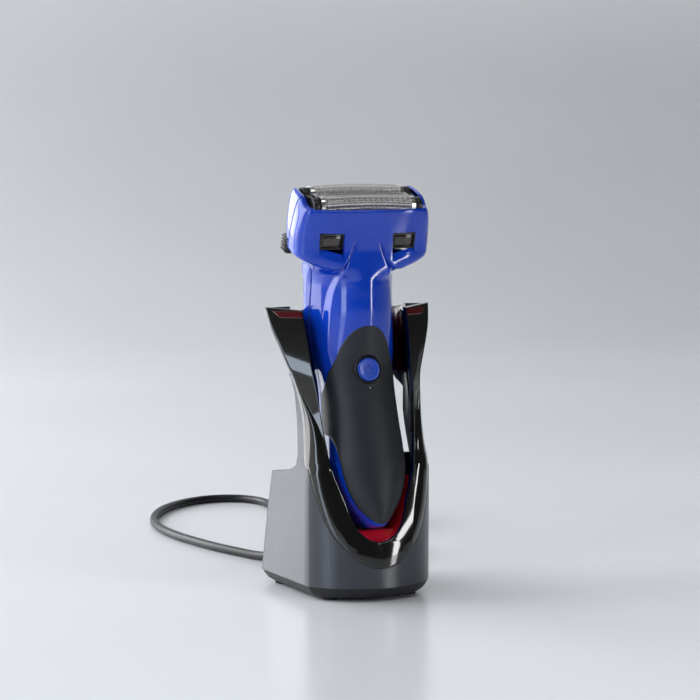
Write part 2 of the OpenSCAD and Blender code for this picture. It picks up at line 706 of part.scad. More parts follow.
module inner_blade(s) {
    slots = 16;
    color([0.6, 0.6, 0.62]) foil_at(s) difference() {
        across(blade_len) difference() {
            arch(foil_r - 0.55, 22.4);
            arch(foil_r - 1.5, 20);
        }
        for (i = [0:slots - 1]) translate([(i - (slots - 1) / 2) * blade_len / slots, 0, foil_c + 3])
            rotate([0, 12, 0]) cube([1.1, 12, 6], center = true);
    }
}
module inner_blade_front() {
    inner_blade(-1);
}
module inner_blade_rear() {
    inner_blade(1);
}
slit_w = 4.4;
slit_top = 29.4;
module slit_foil() {
    slits = 20;
    color([0.7, 0.7, 0.72]) head() translate([0, head_mid, 0]) difference() {
        translate([-foil_half, -slit_w / 2, foil_base]) cube([foil_len, slit_w, slit_top - foil_base]);
        translate([-foil_half - 1, -slit_w / 2 + 0.35, foil_base - 1])
            cube([foil_len + 2, slit_w - 0.7, slit_top - foil_base + 0.6]);
        for (i = [0:slits - 1]) translate([(i - (slits - 1) / 2) * (foil_len - 3) / slits, 0, slit_top])
            cube([0.8, slit_w - 1.4, 3], center = true);
    }
}
module slit_cutter() {
    color([0.5, 0.5, 0.52]) head() translate([-blade_len / 2, head_mid - 1.4, 22.4])
        cube([blade_len, 2.8, slit_top - 22.4 - 0.7]);
}
module blade_springs() {
    color("silver") head() for (x = [-6, 6]) for (y = [-foil_pitch / 2, 0, foil_pitch / 2])
        translate([x, head_mid + y, 15.4]) difference() {
            cylinder(r = 1.3, h = 5.7);
            translate([0, 0, -1]) cylinder(r = 0.8, h = 9);
        }
}

/* Pop-up trimmer on the handset's back, hinged along its lower edge */
hinge_z = 1.7;
module trimmer() {
    translate([0, trimmer_y - y0, trimmer_z]) children();
}
module trimmer_housing() {
    color([0.05, 0.05, 0.055]) trimmer() difference() {
        translate([-trimmer_w / 2, -1.8, 0]) cube([trimmer_w, 3.6, trimmer_h]);
        translate([-10.6, -3, trimmer_h - 5.4]) cube([21.2, 2.3, 7]);
        translate([0, 0, hinge_z]) rotate([0, 90, 0]) cylinder(r = 0.85, h = 40, center = true);
        for (k = [0:2]) translate([-5, 1.5, 4 + 1.6 * k]) cube([10, 1, 0.8]);
    }
}
module trimmer_pin() {
    color("silver") trimmer() translate([0, 0, hinge_z]) rotate([0, 90, 0])
        cylinder(r = 0.8, h = trimmer_w, center = true);
}
module trimmer_comb() {
    teeth = 21;
    w = 20;
    color([0.7, 0.7, 0.72]) trimmer() {
        translate([-w / 2, 1.8, trimmer_h - 4]) cube([w, 0.5, 3.2]);
        for (i = [0:teeth - 1]) translate([-w / 2 + i * (w - 0.5) / (teeth - 1), 1.8, trimmer_h - 1])
            cube([0.5, 0.5, 1.5]);
    }
}
module trimmer_blade() {
    color([0.6, 0.6, 0.62]) trimmer() translate([-8.8, -2, trimmer_h - 5]) cube([17.6, 1, 4.6]);
}

stand_shell();
stand_bezel();
cradle_liner();
base_plate();
stand_feet();
stand_screws();
contact_block();
contact_pins();
cord_relief();
cord_tube();
cord_coil();
cord_tie();
adapter_relief();
adapter_body();
adapter_pins();
front_shell();
rear_shell();
grip_panel();
button_seal();
power_button();
button_spring();
charge_lamp();
inner_chassis();
battery();
circuit_board();
tact_switch();
socket_insert();
socket_pins();
rear_screws();
motor_stator();
motor_armature();
drive_pin();
counterweight();
drive_seal();
hair_tray();
inlet_windows();
release_button_left();
release_button_right();
release_springs();
foil_frame();
foil_end_caps();
foil_front();
foil_rear();
slit_foil();
slit_cutter();
inner_blade_front();
inner_blade_rear();
blade_springs();
trimmer_housing();
trimmer_comb();
trimmer_blade();
trimmer_pin();
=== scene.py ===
"""The looks of an electric shaver in its charging stand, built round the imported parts.

Shapes are worked out in millimetres and become metres in the meshes. Depths in the outline
tables are counted from the stand's front apex, as in the parts' own source; Y0 moves them.
"""

import math

import bmesh
import bpy
import numpy as np
from mathutils import Matrix, Vector


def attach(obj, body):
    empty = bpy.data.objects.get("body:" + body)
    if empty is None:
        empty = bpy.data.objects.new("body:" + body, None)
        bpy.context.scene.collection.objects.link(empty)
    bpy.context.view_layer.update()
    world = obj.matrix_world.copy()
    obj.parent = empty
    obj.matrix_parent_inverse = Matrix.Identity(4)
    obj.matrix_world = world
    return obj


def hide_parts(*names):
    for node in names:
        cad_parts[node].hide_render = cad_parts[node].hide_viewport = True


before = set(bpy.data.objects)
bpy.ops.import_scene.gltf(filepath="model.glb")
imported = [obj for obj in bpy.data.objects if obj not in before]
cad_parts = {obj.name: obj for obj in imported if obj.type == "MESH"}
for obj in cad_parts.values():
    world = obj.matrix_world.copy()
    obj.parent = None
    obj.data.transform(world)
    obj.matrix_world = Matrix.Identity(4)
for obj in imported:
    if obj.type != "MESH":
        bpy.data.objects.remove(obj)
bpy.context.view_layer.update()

MM = 0.001
Y0 = 38.0
LEAN_DEG = 12.3
HEAD_DEG = 18.4
SIN_L, COS_L = math.sin(math.radians(LEAN_DEG)), math.cos(math.radians(LEAN_DEG))
SIN_H, COS_H = math.sin(math.radians(HEAD_DEG)), math.cos(math.radians(HEAD_DEG))
WALL = 1.6
SEAM_GAP = 0.22


# --- smooth tables ---


def hermite(u, a, leave, b, arrive):
    """The cubic from a to b with the given slopes at its ends."""
    return ((2 * u**3 - 3 * u**2 + 1) * a + (u**3 - 2 * u**2 + u) * leave
            + (3 * u**2 - 2 * u**3) * b + (u**3 - u**2) * arrive)


class Curve:
    """Smooth values by cubic Hermite pieces through rows of [x, value, ...]."""

    def __init__(self, rows):
        rows = np.array(rows, float)
        self.x, self.v = rows[:, 0], rows[:, 1:]
        n = len(rows)
        lo = np.maximum(np.arange(n) - 1, 0)
        hi = np.minimum(np.arange(n) + 1, n - 1)
        self.slope = (self.v[hi] - self.v[lo]) / (self.x[hi] - self.x[lo])[:, None]

    def __call__(self, x):
        x = np.asarray(x, float)
        i = np.clip(np.searchsorted(self.x, x, side="right") - 1, 0, len(self.x) - 2)
        h = (self.x[i + 1] - self.x[i])[..., None]
        u = np.clip((x - self.x[i])[..., None] / h, 0, 1)
        out = hermite(u, self.v[i], self.slope[i] * h, self.v[i + 1], self.slope[i + 1] * h)
        return out[..., 0] if out.shape[-1] == 1 else out


def smooth(x):
    """0 below 0, 1 above 1, and smooth between."""
    u = np.clip(x, 0, 1)
    return u * u * (3 - 2 * u)


def lerp(a, b, u):
    return a + (b - a) * u


# --- mesh helpers ---


def tilted(origin, degrees):
    """A frame at origin, in millimetres, turned about X."""
    place = Matrix.Translation(Vector(origin) * MM)
    return place @ Matrix.Rotation(math.radians(degrees), 4, "X")


def placed(place, x, y, z):
    """The frame moved by millimetres along its own axes."""
    return place @ Matrix.Translation(Vector((x, y, z)) * MM)


HOME = Matrix.Identity(4)
LEAN = tilted((0, 22 - Y0, 30), -LEAN_DEG)
HEAD = tilted((0, 31.5 - Y0, 155), HEAD_DEG)
TRIMMER = tilted((0, 51 - Y0, 133), 0)
# Heights on the leaning body: the power button, the lamp and the rear screws.
BUTTON_Z, LAMP_Z, SCREWS_Z = 72, 63.6, (16, 70)
# In the head's frame: the windows' middle and the middle of its depth.
WINDOW_X, WINDOW_Z = 17.6, 12.0
HEAD_MID = 4.6


def linked(name, data):
    """An object with this data, put in the scene."""
    obj = bpy.data.objects.new(name, data)
    bpy.context.scene.collection.objects.link(obj)
    return obj


def mesh_object(name, verts, faces, place=HOME):
    """An object from points in millimetres, with its normals pointing out."""
    mesh = bpy.data.meshes.new(name)
    mesh.from_pydata([tuple(p) for p in np.asarray(verts, float) * MM], [], faces)
    bm = bmesh.new()
    bm.from_mesh(mesh)
    bmesh.ops.remove_doubles(bm, verts=bm.verts, dist=2e-7)
    bmesh.ops.dissolve_degenerate(bm, edges=bm.edges, dist=1e-8)
    bmesh.ops.recalc_face_normals(bm, faces=bm.faces)
    bm.to_mesh(mesh)
    bm.free()
    mesh.transform(place)
    return linked(name, mesh)


def from_bmesh(name, bm, place=HOME):
    """An object from a bmesh in millimetres."""
    bmesh.ops.recalc_face_normals(bm, faces=bm.faces)
    mesh = bpy.data.meshes.new(name)
    bm.to_mesh(mesh)
    bm.free()
    mesh.transform(place @ Matrix.Scale(MM, 4))
    return linked(name, mesh)


def applied(obj):
    """Turns the object's modifiers into mesh."""
    bpy.context.view_layer.update()
    graph = bpy.context.evaluated_depsgraph_get()
    mesh = bpy.data.meshes.new_from_object(obj.evaluated_get(graph))
    obj.modifiers.clear()
    obj.data = mesh
    return obj


def combine(obj, other, how):
    """Boolean of obj with other, which is removed."""
    modifier = obj.modifiers.new(how, "BOOLEAN")
    modifier.operation = how
    modifier.solver = "EXACT"
    modifier.object = other
    applied(obj)
    bpy.data.objects.remove(other)
    return obj


def cut(obj, *cutters):
    for cutter in cutters:
        combine(obj, cutter, "DIFFERENCE")
    return obj


def joined(obj, *others):
    """Adds the others' meshes to obj's."""
    bm = bmesh.new()
    bm.from_mesh(obj.data)
    for other in others:
        bm.from_mesh(other.data)
        bpy.data.objects.remove(other)
    bm.to_mesh(obj.data)
    bm.free()
    return obj


def finish(obj, material, sharp):
    """One material, and smooth shading but for edges over sharp degrees."""
    obj.data.materials.clear()
    obj.data.materials.append(material)
    if obj.type == "MESH":
        for polygon in obj.data.polygons:
            polygon.use_smooth = True
        obj.data.set_sharp_from_angle(angle=math.radians(sharp))


def dress(obj, material, body, slot, stands_for=(), sharp=32):
    """Finish, body and the CAD nodes that the piece stands for. The slot is not used."""
    finish(obj, material, sharp)
    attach(obj, body)
    if stands_for:
        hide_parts(*stands_for)
    return obj


def dress_all(name, parts, *facts, **more):
    """Joins the parts as one piece of this name, and dresses it."""
    whole = joined(*parts)
    whole.name = name
    return dress(whole, *facts, **more)


def ring_faces(rows, around):
    """Quads between rows of points that each go round in `around` points."""
    return [(j * around + i, j * around + (i + 1) % around,
             (j + 1) * around + (i + 1) % around, (j + 1) * around + i)
            for j in range(rows - 1) for i in range(around)]


def loft(name, rings, place=HOME, caps=True):
    """Closed solid through equal rings of points, capped at both ends."""
    rings = np.array(rings, float)
    m, n = rings.shape[:2]
    verts = rings.reshape(-1, 3)
    faces = ring_faces(m, n)
    if caps:
        verts = np.vstack([verts, rings[0].mean(0), rings[-1].mean(0)])
        faces += [(m * n, (i + 1) % n, i) for i in range(n)]
        faces += [(m * n + 1, (m - 1) * n + i, (m - 1) * n + (i + 1) % n) for i in range(n)]
    return mesh_object(name, verts, faces, place)


def slab(name, outer, inner, place=HOME):
    """Closed sheet between two grids of points with the same rows and columns."""
    outer, inner = np.array(outer, float), np.array(inner, float)
    m, n = outer.shape[:2]
    rows = np.concatenate([outer, inner[:, ::-1]], axis=1)
    verts = rows.reshape(-1, 3)
    faces = ring_faces(m, 2 * n)
    for j in (0, m - 1):
        for i in range(n - 1):
            a, b = j * 2 * n + i, j * 2 * n + 2 * n - 1 - i
            faces.append((a, a + 1, b - 1, b))
    return mesh_object(name, verts, faces, place)


def lathe(name, profile, place=HOME, around=48, axis="Z", caps=True):
    """Solid of revolution from [radius, height] points, about the frame's Z, Y or X.

    Without caps the profile is a ring's section, and closes on itself.
    """
    profile = profile if caps else profile + profile[:1]
    turn = {"Z": HOME, "Y": Matrix.Rotation(math.radians(-90), 4, "X"),
            "X": Matrix.Rotation(math.radians(90), 4, "Y")}[axis]
    angles = np.linspace(0, 2 * math.pi, around, endpoint=False)
    rings = [[(max(r, 1e-4) * math.cos(a), max(r, 1e-4) * math.sin(a), h) for a in angles]
             for r, h in profile]
    return loft(name, rings, place @ turn, caps=caps)


def soft_box(name, size, centre, place=HOME, radius=0.4, segments=3):
    """A box with rounded edges."""
    bm = bmesh.new()
    bmesh.ops.create_cube(bm, size=1)
    bmesh.ops.scale(bm, vec=size, verts=bm.verts)
    bmesh.ops.bevel(bm, geom=bm.edges[:], offset=min(radius, min(size) * 0.49),
                    segments=segments, profile=0.5, affect="EDGES")
    bmesh.ops.translate(bm, vec=centre, verts=bm.verts)
    return from_bmesh(name, bm, place)


def prism(name, outline, x0, x1, place=HOME, radius=0.0):
    """A YZ outline carried along X from x0 to x1, with its rims rounded."""
    bm = bmesh.new()
    face = bm.faces.new([bm.verts.new((x0, y, z)) for y, z in outline])
    out = bmesh.ops.extrude_face_region(bm, geom=[face])
    far = [v for v in out["geom"] if isinstance(v, bmesh.types.BMVert)]
    bmesh.ops.translate(bm, vec=(x1 - x0, 0, 0), verts=far)
    if radius:
        rims = [e for e in bm.edges if abs(e.verts[0].co.x - e.verts[1].co.x) < 1e-6]
        bmesh.ops.bevel(bm, geom=rims, offset=radius, segments=3, profile=0.5,
                        affect="EDGES", clamp_overlap=True)
    return from_bmesh(name, bm, place)


def side_prism(name, outline, width):
    """A side view, [depth, height], carried along X to both sides."""
    return prism(name, [(y - Y0, z) for y, z in outline], -width, width)


def tube(name, points, radius, place=HOME, sides=8):
    """A round tube along points in millimetres."""
    points = np.array(points, float)
    tangent = np.gradient(points, axis=0)
    tangent /= np.linalg.norm(tangent, axis=1)[:, None]
    side = np.cross(tangent[0], (0.3, 0.2, 1))
    rings = []
    a = np.linspace(0, 2 * math.pi, sides, endpoint=False)[:, None]
    for point, ahead in zip(points, tangent):
        side = side - ahead * (side @ ahead)
        side /= np.linalg.norm(side)
        up = np.cross(ahead, side)
        rings.append(point + radius * (np.cos(a) * side + np.sin(a) * up))
    return loft(name, rings, place)


def spring(name, centre, radius, wire, height, turns, place):
    """A compression spring along the frame's Z."""
    steps = int(turns * 20)
    points = [(centre[0] + radius * math.cos(2 * math.pi * turns * k / steps),
               centre[1] + radius * math.sin(2 * math.pi * turns * k / steps),
               centre[2] + wire + (height - 2 * wire) * k / steps) for k in range(steps + 1)]
    return tube(name, points, wire, place)


# --- materials ---


def shader(name, **values):
    """A material with its Principled shader's own sockets set."""
    material = bpy.data.materials.new(name)
    material.use_nodes = True
    for key, value in values.items():
        bsdf_of(material).inputs[key.replace("_", " ")].default_value = value
    return material


def node(material, kind, **values):
    """A node with its settings, or its sockets by name with _ for a space."""
    made = material.node_tree.nodes.new(kind)
    for key, value in values.items():
        if hasattr(made, key):
            setattr(made, key, value)
        else:
            made.inputs[key.replace("_", " ")].default_value = value
    return made


def wire(material, a, out, b, into):
    material.node_tree.links.new(a.outputs[out], b.inputs[into])


def bsdf_of(material):
    return material.node_tree.nodes["Principled BSDF"]


def place_of(material):
    """Where a point is; the Object output moves with the piece."""
    return node(material, "ShaderNodeTexCoord")


def noise_on(material, scale, detail, stretch=(1, 1, 1)):
    """Noise over the piece, stretched along its axes."""
    mapping = node(material, "ShaderNodeMapping", Scale=stretch)
    noise = node(material, "ShaderNodeTexNoise", Scale=scale, Detail=detail)
    wire(material, place_of(material), "Object", mapping, "Vector")
    wire(material, mapping, "Vector", noise, "Vector")
    return noise


def vary_colour(material, colour, other, scale):
    """The base colour drifts between two colours."""
    ramp = node(material, "ShaderNodeValToRGB")
    for stop, position, shade in zip(ramp.color_ramp.elements, (0.35, 0.65), (colour, other)):
        stop.position = position
        stop.color = (*shade, 1)
    wire(material, noise_on(material, scale, 4.0), "Fac", ramp, "Fac")
    wire(material, ramp, "Color", bsdf_of(material), "Base Color")


def vary_roughness(material, low, high, scale):
    spread = node(material, "ShaderNodeMapRange", To_Min=low, To_Max=high)
    wire(material, noise_on(material, scale, 3.0), "Fac", spread, "Value")
    wire(material, spread, "Result", bsdf_of(material), "Roughness")


def grain(material, scale, strength, distance, stretch=(1, 1, 1)):
    """A fine relief: moulded grain, orange peel or brushed lines."""
    bump = node(material, "ShaderNodeBump", Strength=strength, Distance=distance)
    wire(material, noise_on(material, scale, 2.0, stretch), "Fac", bump, "Height")
    wire(material, bump, "Normal", bsdf_of(material), "Normal")
    return material


def plastic(name, colour, rough, grain_scale, strength, drift=0.12, coat=0.0, distance=0.0001,
            shine=0.4):
    """Moulded plastic or rubber with a fine grain and a little drift of colour and gloss."""
    material = shader(name, Coat_Weight=coat, Coat_Roughness=0.04, Specular_IOR_Level=shine)
    vary_colour(material, [c * (1 - drift) for c in colour], [c * (1 + drift) for c in colour], 60)
    vary_roughness(material, rough * 0.88, rough * 1.12, 240)
    return grain(material, grain_scale, strength, distance)


def metal(name, colour, rough, brushed=(1, 1, 1), scale=1800, strength=0.12):
    """Metal with fine drawn or stamped lines."""
    material = shader(name, Metallic=1.0)
    vary_colour(material, [c * 0.9 for c in colour], colour, 300)
    vary_roughness(material, rough * 0.8, rough * 1.2, 500)
    return grain(material, scale, strength, 0.00008, stretch=brushed)


def circuit_green():
    """Solder mask over traces."""
    material = shader("circuit_green", Roughness=0.35, Coat_Weight=0.4)
    brick = node(material, "ShaderNodeTexBrick", Scale=260.0, Color1=(0.01, 0.09, 0.03, 1),
                 Color2=(0.012, 0.12, 0.04, 1), Mortar=(0.03, 0.22, 0.08, 1))
    wire(material, place_of(material), "Object", brick, "Vector")
    wire(material, brick, "Color", bsdf_of(material), "Base Color")
    return grain(material, 900, 0.2, 0.0001)


def liner_red():
    """Glossy red, painted darker toward the top of the cradle as painted shade."""
    material = shader("liner_red", Coat_Weight=1.0, Coat_Roughness=0.04)
    split = node(material, "ShaderNodeSeparateXYZ")
    # Painted shade: the base colour runs from full red low in the cup to near black at the top of
    # the collar.
    height = node(material, "ShaderNodeMapRange", From_Min=0.042, From_Max=0.095)
    ramp = node(material, "ShaderNodeValToRGB")
    ramp.color_ramp.elements[0].color = (0.80, 0.010, 0.012, 1)
    ramp.color_ramp.elements[1].color = (0.035, 0.002, 0.003, 1)
    wire(material, place_of(material), "Object", split, "Vector")
    wire(material, split, "Z", height, "Value")
    wire(material, height, "Result", ramp, "Fac")
    wire(material, ramp, "Color", bsdf_of(material), "Base Color")
    vary_roughness(material, 0.13, 0.19, 240)
    return grain(material, 420, 0.04, 0.0001)


BLUE = plastic("gloss_blue", (0.004, 0.050, 0.500), 0.12, 420, 0.035, drift=0.05, coat=1.0,
               shine=0.15)
RUBBER = plastic("charcoal_rubber", (0.017, 0.019, 0.026), 0.50, 5200, 0.22, drift=0.10)
PIANO = plastic("piano_black", (0.0055, 0.0055, 0.0050), 0.10, 260, 0.02, drift=0.15, coat=1.0)
SATIN = plastic("satin_slate", (0.020, 0.024, 0.036), 0.30, 3800, 0.10, drift=0.08, shine=0.9)
BASE = plastic("base_black", (0.010, 0.010, 0.012), 0.48, 3200, 0.20)
FOOT = plastic("foot_rubber", (0.012, 0.012, 0.012), 0.72, 2600, 0.30)
# The liner's red, with painted shade that darkens it toward the top.
RED = liner_red()
# A darker copy of the liner's red for its upper lip: painted shade.
LIP_RED_PAINTED_SHADE = plastic("lip_red_painted_shade", (0.085, 0.003, 0.005), 0.14, 420, 0.03, coat=1.0)
CORD = plastic("cord_black", (0.007, 0.007, 0.008), 0.38, 2400, 0.18)
ADAPTER = plastic("adapter_black", (0.012, 0.012, 0.013), 0.46, 3400, 0.26)
BUTTON = plastic("button_blue", (0.006, 0.060, 0.500), 0.34, 1400, 0.06, drift=0.06, coat=0.2)
SEAL = plastic("seal_black", (0.004, 0.004, 0.010), 0.55, 2600, 0.15)
BLACK = plastic("fine_black", (0.008, 0.008, 0.009), 0.34, 2800, 0.12)
SMOKE = plastic("smoke_window", (0.016, 0.008, 0.005), 0.12, 500, 0.03, drift=0.3, coat=1.0)
INNER = plastic("inner_plastic", (0.09, 0.09, 0.10), 0.5, 1800, 0.2)
LENS = plastic("lamp_lens", (0.10, 0.13, 0.16), 0.18, 900, 0.05, coat=0.8)
WRAP = plastic("battery_wrap", (0.03, 0.16, 0.07), 0.3, 700, 0.12, coat=0.5)
MARK = plastic("button_mark", (0.004, 0.035, 0.30), 0.5, 1400, 0.1)
FOIL = metal("foil_steel", (0.80, 0.79, 0.77), 0.20, scale=2600, strength=0.35)
BLADE = metal("blade_steel", (0.50, 0.50, 0.51), 0.30, brushed=(0.15, 1, 1))
SCREW = metal("screw_steel", (0.62, 0.61, 0.59), 0.28)
CONTACT = metal("contact_nickel", (0.80, 0.70, 0.46), 0.22)
MOTOR = metal("motor_steel", (0.42, 0.40, 0.37), 0.38, brushed=(1, 1, 0.2))
SPRING = metal("spring_wire", (0.66, 0.66, 0.66), 0.25)
BOARD = circuit_green()


# --- camera, light, floor ---


def look():
    """The camera at the photograph's angle."""
    data = bpy.data.cameras.new("camera")
    data.sensor_width, data.lens = 36.0, 135.0
    data.clip_start, data.clip_end = 0.05, 50.0
    camera = linked("camera", data)
    camera.location = (-0.4548, -1.1237, 0.222)
    camera.rotation_euler = (math.radians(90 - 5.19), 0, math.radians(-22))
    bpy.context.scene.camera = camera


def softbox(name, azimuth, elevation, distance, size, watts, colour=(1, 1, 1), aim=(0, 0, 0.1)):
    """An area light seen from the object at azimuth degrees right of its front."""
    a, e = math.radians(azimuth), math.radians(elevation)
    back = Vector((math.sin(a) * math.cos(e), -math.cos(a) * math.cos(e), math.sin(e)))
    data = bpy.data.lights.new(name, "AREA")
    data.shape = "RECTANGLE"
    data.size, data.size_y = size
    data.energy = watts
    data.color = colour
    light = linked(name, data)
    light.location = Vector(aim) + back * distance
    light.rotation_euler = (-back).to_track_quat("-Z", "Y").to_euler()


def room():
    """A bright soft room: paler to the left and behind, darker in front."""
    world = bpy.data.worlds.new("room")
    bpy.context.scene.world = world
    world.use_nodes = True
    background = world.node_tree.nodes["Background"]
    toward = node(world, "ShaderNodeVectorMath", operation="DOT_PRODUCT")
    toward.inputs[1].default_value = Vector((-0.62, 0.76, 0.18)).normalized()
    spread = node(world, "ShaderNodeMapRange", From_Min=-1.0)
    ramp = node(world, "ShaderNodeValToRGB")
    wire(world, place_of(world), "Generated", toward, 0)
    wire(world, toward, "Value", spread, "Value")
    wire(world, spread, "Result", ramp, "Fac")
    wire(world, ramp, "Color", background, "Color")
    stops = [(0.0, 0.05), (0.40, 0.06), (0.60, 0.30), (0.78, 0.80), (1.0, 0.90)]
    ramp.color_ramp.elements.remove(ramp.color_ramp.elements[1])
    for position, grey in stops:
        first = position == 0.0
        stop = ramp.color_ramp.elements[0] if first else ramp.color_ramp.elements.new(position)
        stop.color = (grey * 0.985, grey * 0.995, grey, 1)
    background.inputs["Strength"].default_value = 0.9


def floor():
    """A pale counter with a soft sheen that sweeps up into a bright backdrop."""
    line = [(-2500, 0), (1100, 0)]
    turn = np.radians(np.linspace(3, 90, 30))
    line += [(1100 + 900 * math.sin(a), 900 - 900 * math.cos(a)) for a in turn] + [(2000, 3200)]
    verts = [(x, y, z) for y, z in line for x in (-4000, 4000)]
    faces = [(2 * k, 2 * k + 1, 2 * k + 3, 2 * k + 2) for k in range(len(line) - 1)]
    sweep = mesh_object("floor", verts, faces)
    for polygon in sweep.data.polygons:
        polygon.use_smooth = True
    material = shader("counter_white", Roughness=0.22)
    vary_colour(material, (0.80, 0.82, 0.85), (0.84, 0.86, 0.88), 3)
    bsdf = bsdf_of(material)
    bsdf.inputs["Emission Color"].default_value = (0.80, 0.83, 0.86, 1)
    split = node(material, "ShaderNodeSeparateXYZ")
    glow = node(material, "ShaderNodeMapRange", interpolation_type="SMOOTHSTEP", From_Max=0.9,
                To_Max=0.62)
    wire(material, place_of(material), "Object", split, "Vector")
    wire(material, split, "Z", glow, "Value")
    wire(material, glow, "Result", bsdf, "Emission Strength")
    sweep.data.materials.append(material)


look()
room()
floor()
bpy.context.scene.view_settings.view_transform = "Standard"
softbox("window_right", 33, 8, 1.3, (0.16, 0.60), 3.4)
softbox("left_wall", -112, 20, 1.5, (0.8, 1.5), 16, (0.98, 0.98, 1.0))
softbox("left_front", -62, 14, 1.5, (0.25, 1.3), 5, (0.72, 0.84, 1.0))
softbox("back_left", -148, 14, 1.7, (1.0, 1.3), 21, (0.97, 0.97, 1.0))
softbox("front_top", 8, 64, 1.5, (1.0, 0.30), 3.5)


# --- lead and adapter ---

CORD_R = 2.2
COIL_AT = (32.0, 134.0)
ROUTE = [
    (-8, 93, 10.5), (-8, 100, 9.6), (-9, 108, 6.6), (-11, 118, 3.4), (-15, 130, 2.2),
    (-20, 145, 2.2), (-25, 162, 2.2), (-29, 182, 2.2), (-32, 204, 2.2), (-32, 228, 2.2),
    (-28, 252, 2.2), (-20, 274, 2.2), (-8, 294, 2.2), (8, 310, 2.2), (26, 318, 2.2),
    (42, 314, 2.2), (50, 300, 2.2), (50, 282, 2.2), (44, 260, 2.2), (36, 238, 2.2),
    (27, 214, 2.2), (17, 190, 2.2), (8, 166, 2.2), (4, 150, 2.2), (3, 136, 2.2)]
ROUTE_OUT = [(61, 136, 2.2), (62, 148, 2.2), (65, 160, 2.4), (68, 172, 4.6), (70, 184, 8.4),
             (70, 192, 10)]
# Each turn's place in the coil, as [radius, height], from where the lead comes in.
TURNS = [(28.4, 2.2), (24.0, 2.2), (19.6, 2.2), (19.6, 6.6), (19.6, 11.0), (24.0, 11.0),
         (24.0, 6.6), (28.4, 6.6)]
SHIFT_DEG = 50


def passing(points, steps):
    """Smooth points through a list, as in the parts' source."""
    p = np.array(points, float)
    n = len(p)
    out = []
    for i in range(n - 1):
        a, b, c, d = p[max(0, i - 1)], p[i], p[i + 1], p[min(n - 1, i + 2)]
        for k in range(steps):
            u = k / steps
            out.append(hermite(u, b, (c - a) / 2, c, (d - b) / 2))
    out.append(p[-1])
    return np.array(out)


def coil_points():
    """The wound turns: each stays at its place in the bundle, then moves to the next."""
    leave = [250.0]
    for k in range(1, len(TURNS) - 1):
        before = np.subtract(TURNS[k], TURNS[k - 1])
        after = np.subtract(TURNS[k + 1], TURNS[k])
        straight = abs(before @ after) > 1
        leave.append(leave[-1] + (360 if straight else 360 - SHIFT_DEG))
    last = leave[-1] + SHIFT_DEG
    end = math.ceil((last + 150) / 360) * 360
    points = []
    for angle in np.arange(186, end + 0.1, 6.0):
        k = sum(angle > x for x in leave)
        k0 = max(0, k - 1)
        u = smooth((angle - leave[k0]) / SHIFT_DEG) if k else 0.0
        r, z = lerp(np.array(TURNS[k0]), np.array(TURNS[min(k0 + 1, len(TURNS) - 1)]), u)
        down = smooth((angle - (end - 60)) / 60)
        r, z = lerp(r, 28.9, down), lerp(z, 2.2, down)
        a = math.radians(angle)
        points.append((COIL_AT[0] + r * math.cos(a), COIL_AT[1] + r * math.sin(a), z))
    return np.array(points)


def lead():
    """The whole lead as one curve, with its length in the coil."""
    line = np.vstack([passing(ROUTE, 4)[:-1], coil_points(), passing(ROUTE_OUT, 4)])
    line[:, 1] -= Y0
    line *= MM
    data = bpy.data.curves.new("lead", "CURVE")
    data.dimensions = "3D"
    spline = data.splines.new("POLY")
    spline.points.add(len(line) - 1)
    spline.points.foreach_set("co", np.hstack([line, np.ones((len(line), 1))]).ravel())
    spline.use_smooth = True
    data.bevel_depth = CORD_R * MM
    data.bevel_resolution = 5
    data.use_fill_caps = True
    obj = linked("lead", data)
    dress(obj, CORD, "stand", "cord_black", ["cord_tube", "cord_coil"])
    return obj, line, float(np.linalg.norm(np.diff(line, axis=0), axis=1).sum())


def relief(name, start, length, r0, r1, slot_count, along, node_name):
    """A tapered strain relief with segments cut round it, along +Y or -Y."""
    profile = [(0.0, 0.0), (r0, 0.0), (r0, 3.6), (r0 - 0.15, 4.0)]
    pitch = (length - 5.0) / slot_count
    for k in range(slot_count):
        h = 4.2 + k * pitch
        r = lerp(r0 - 0.2, r1, (h - 4.2) / (length - 4.2))
        core = lerp(r, CORD_R, 0.55)
        profile += [(core, h), (core, h + 0.28 * pitch), (r - 0.08, h + 0.32 * pitch),
                    (r, h + 0.45 * pitch), (r - 0.05, h + 0.9 * pitch), (r - 0.15, h + pitch)]
    profile += [(r1, length - 0.4), (r1 - 0.25, length), (0.0, length)]
    turn = Matrix.Rotation(math.radians(-90 if along > 0 else 90), 4, "X")
    place = Matrix.Translation(Vector(start) * MM) @ turn
    obj = lathe(name, profile, place, around=40)
    return dress(obj, CORD, "stand", "cord_black", [node_name], sharp=40)


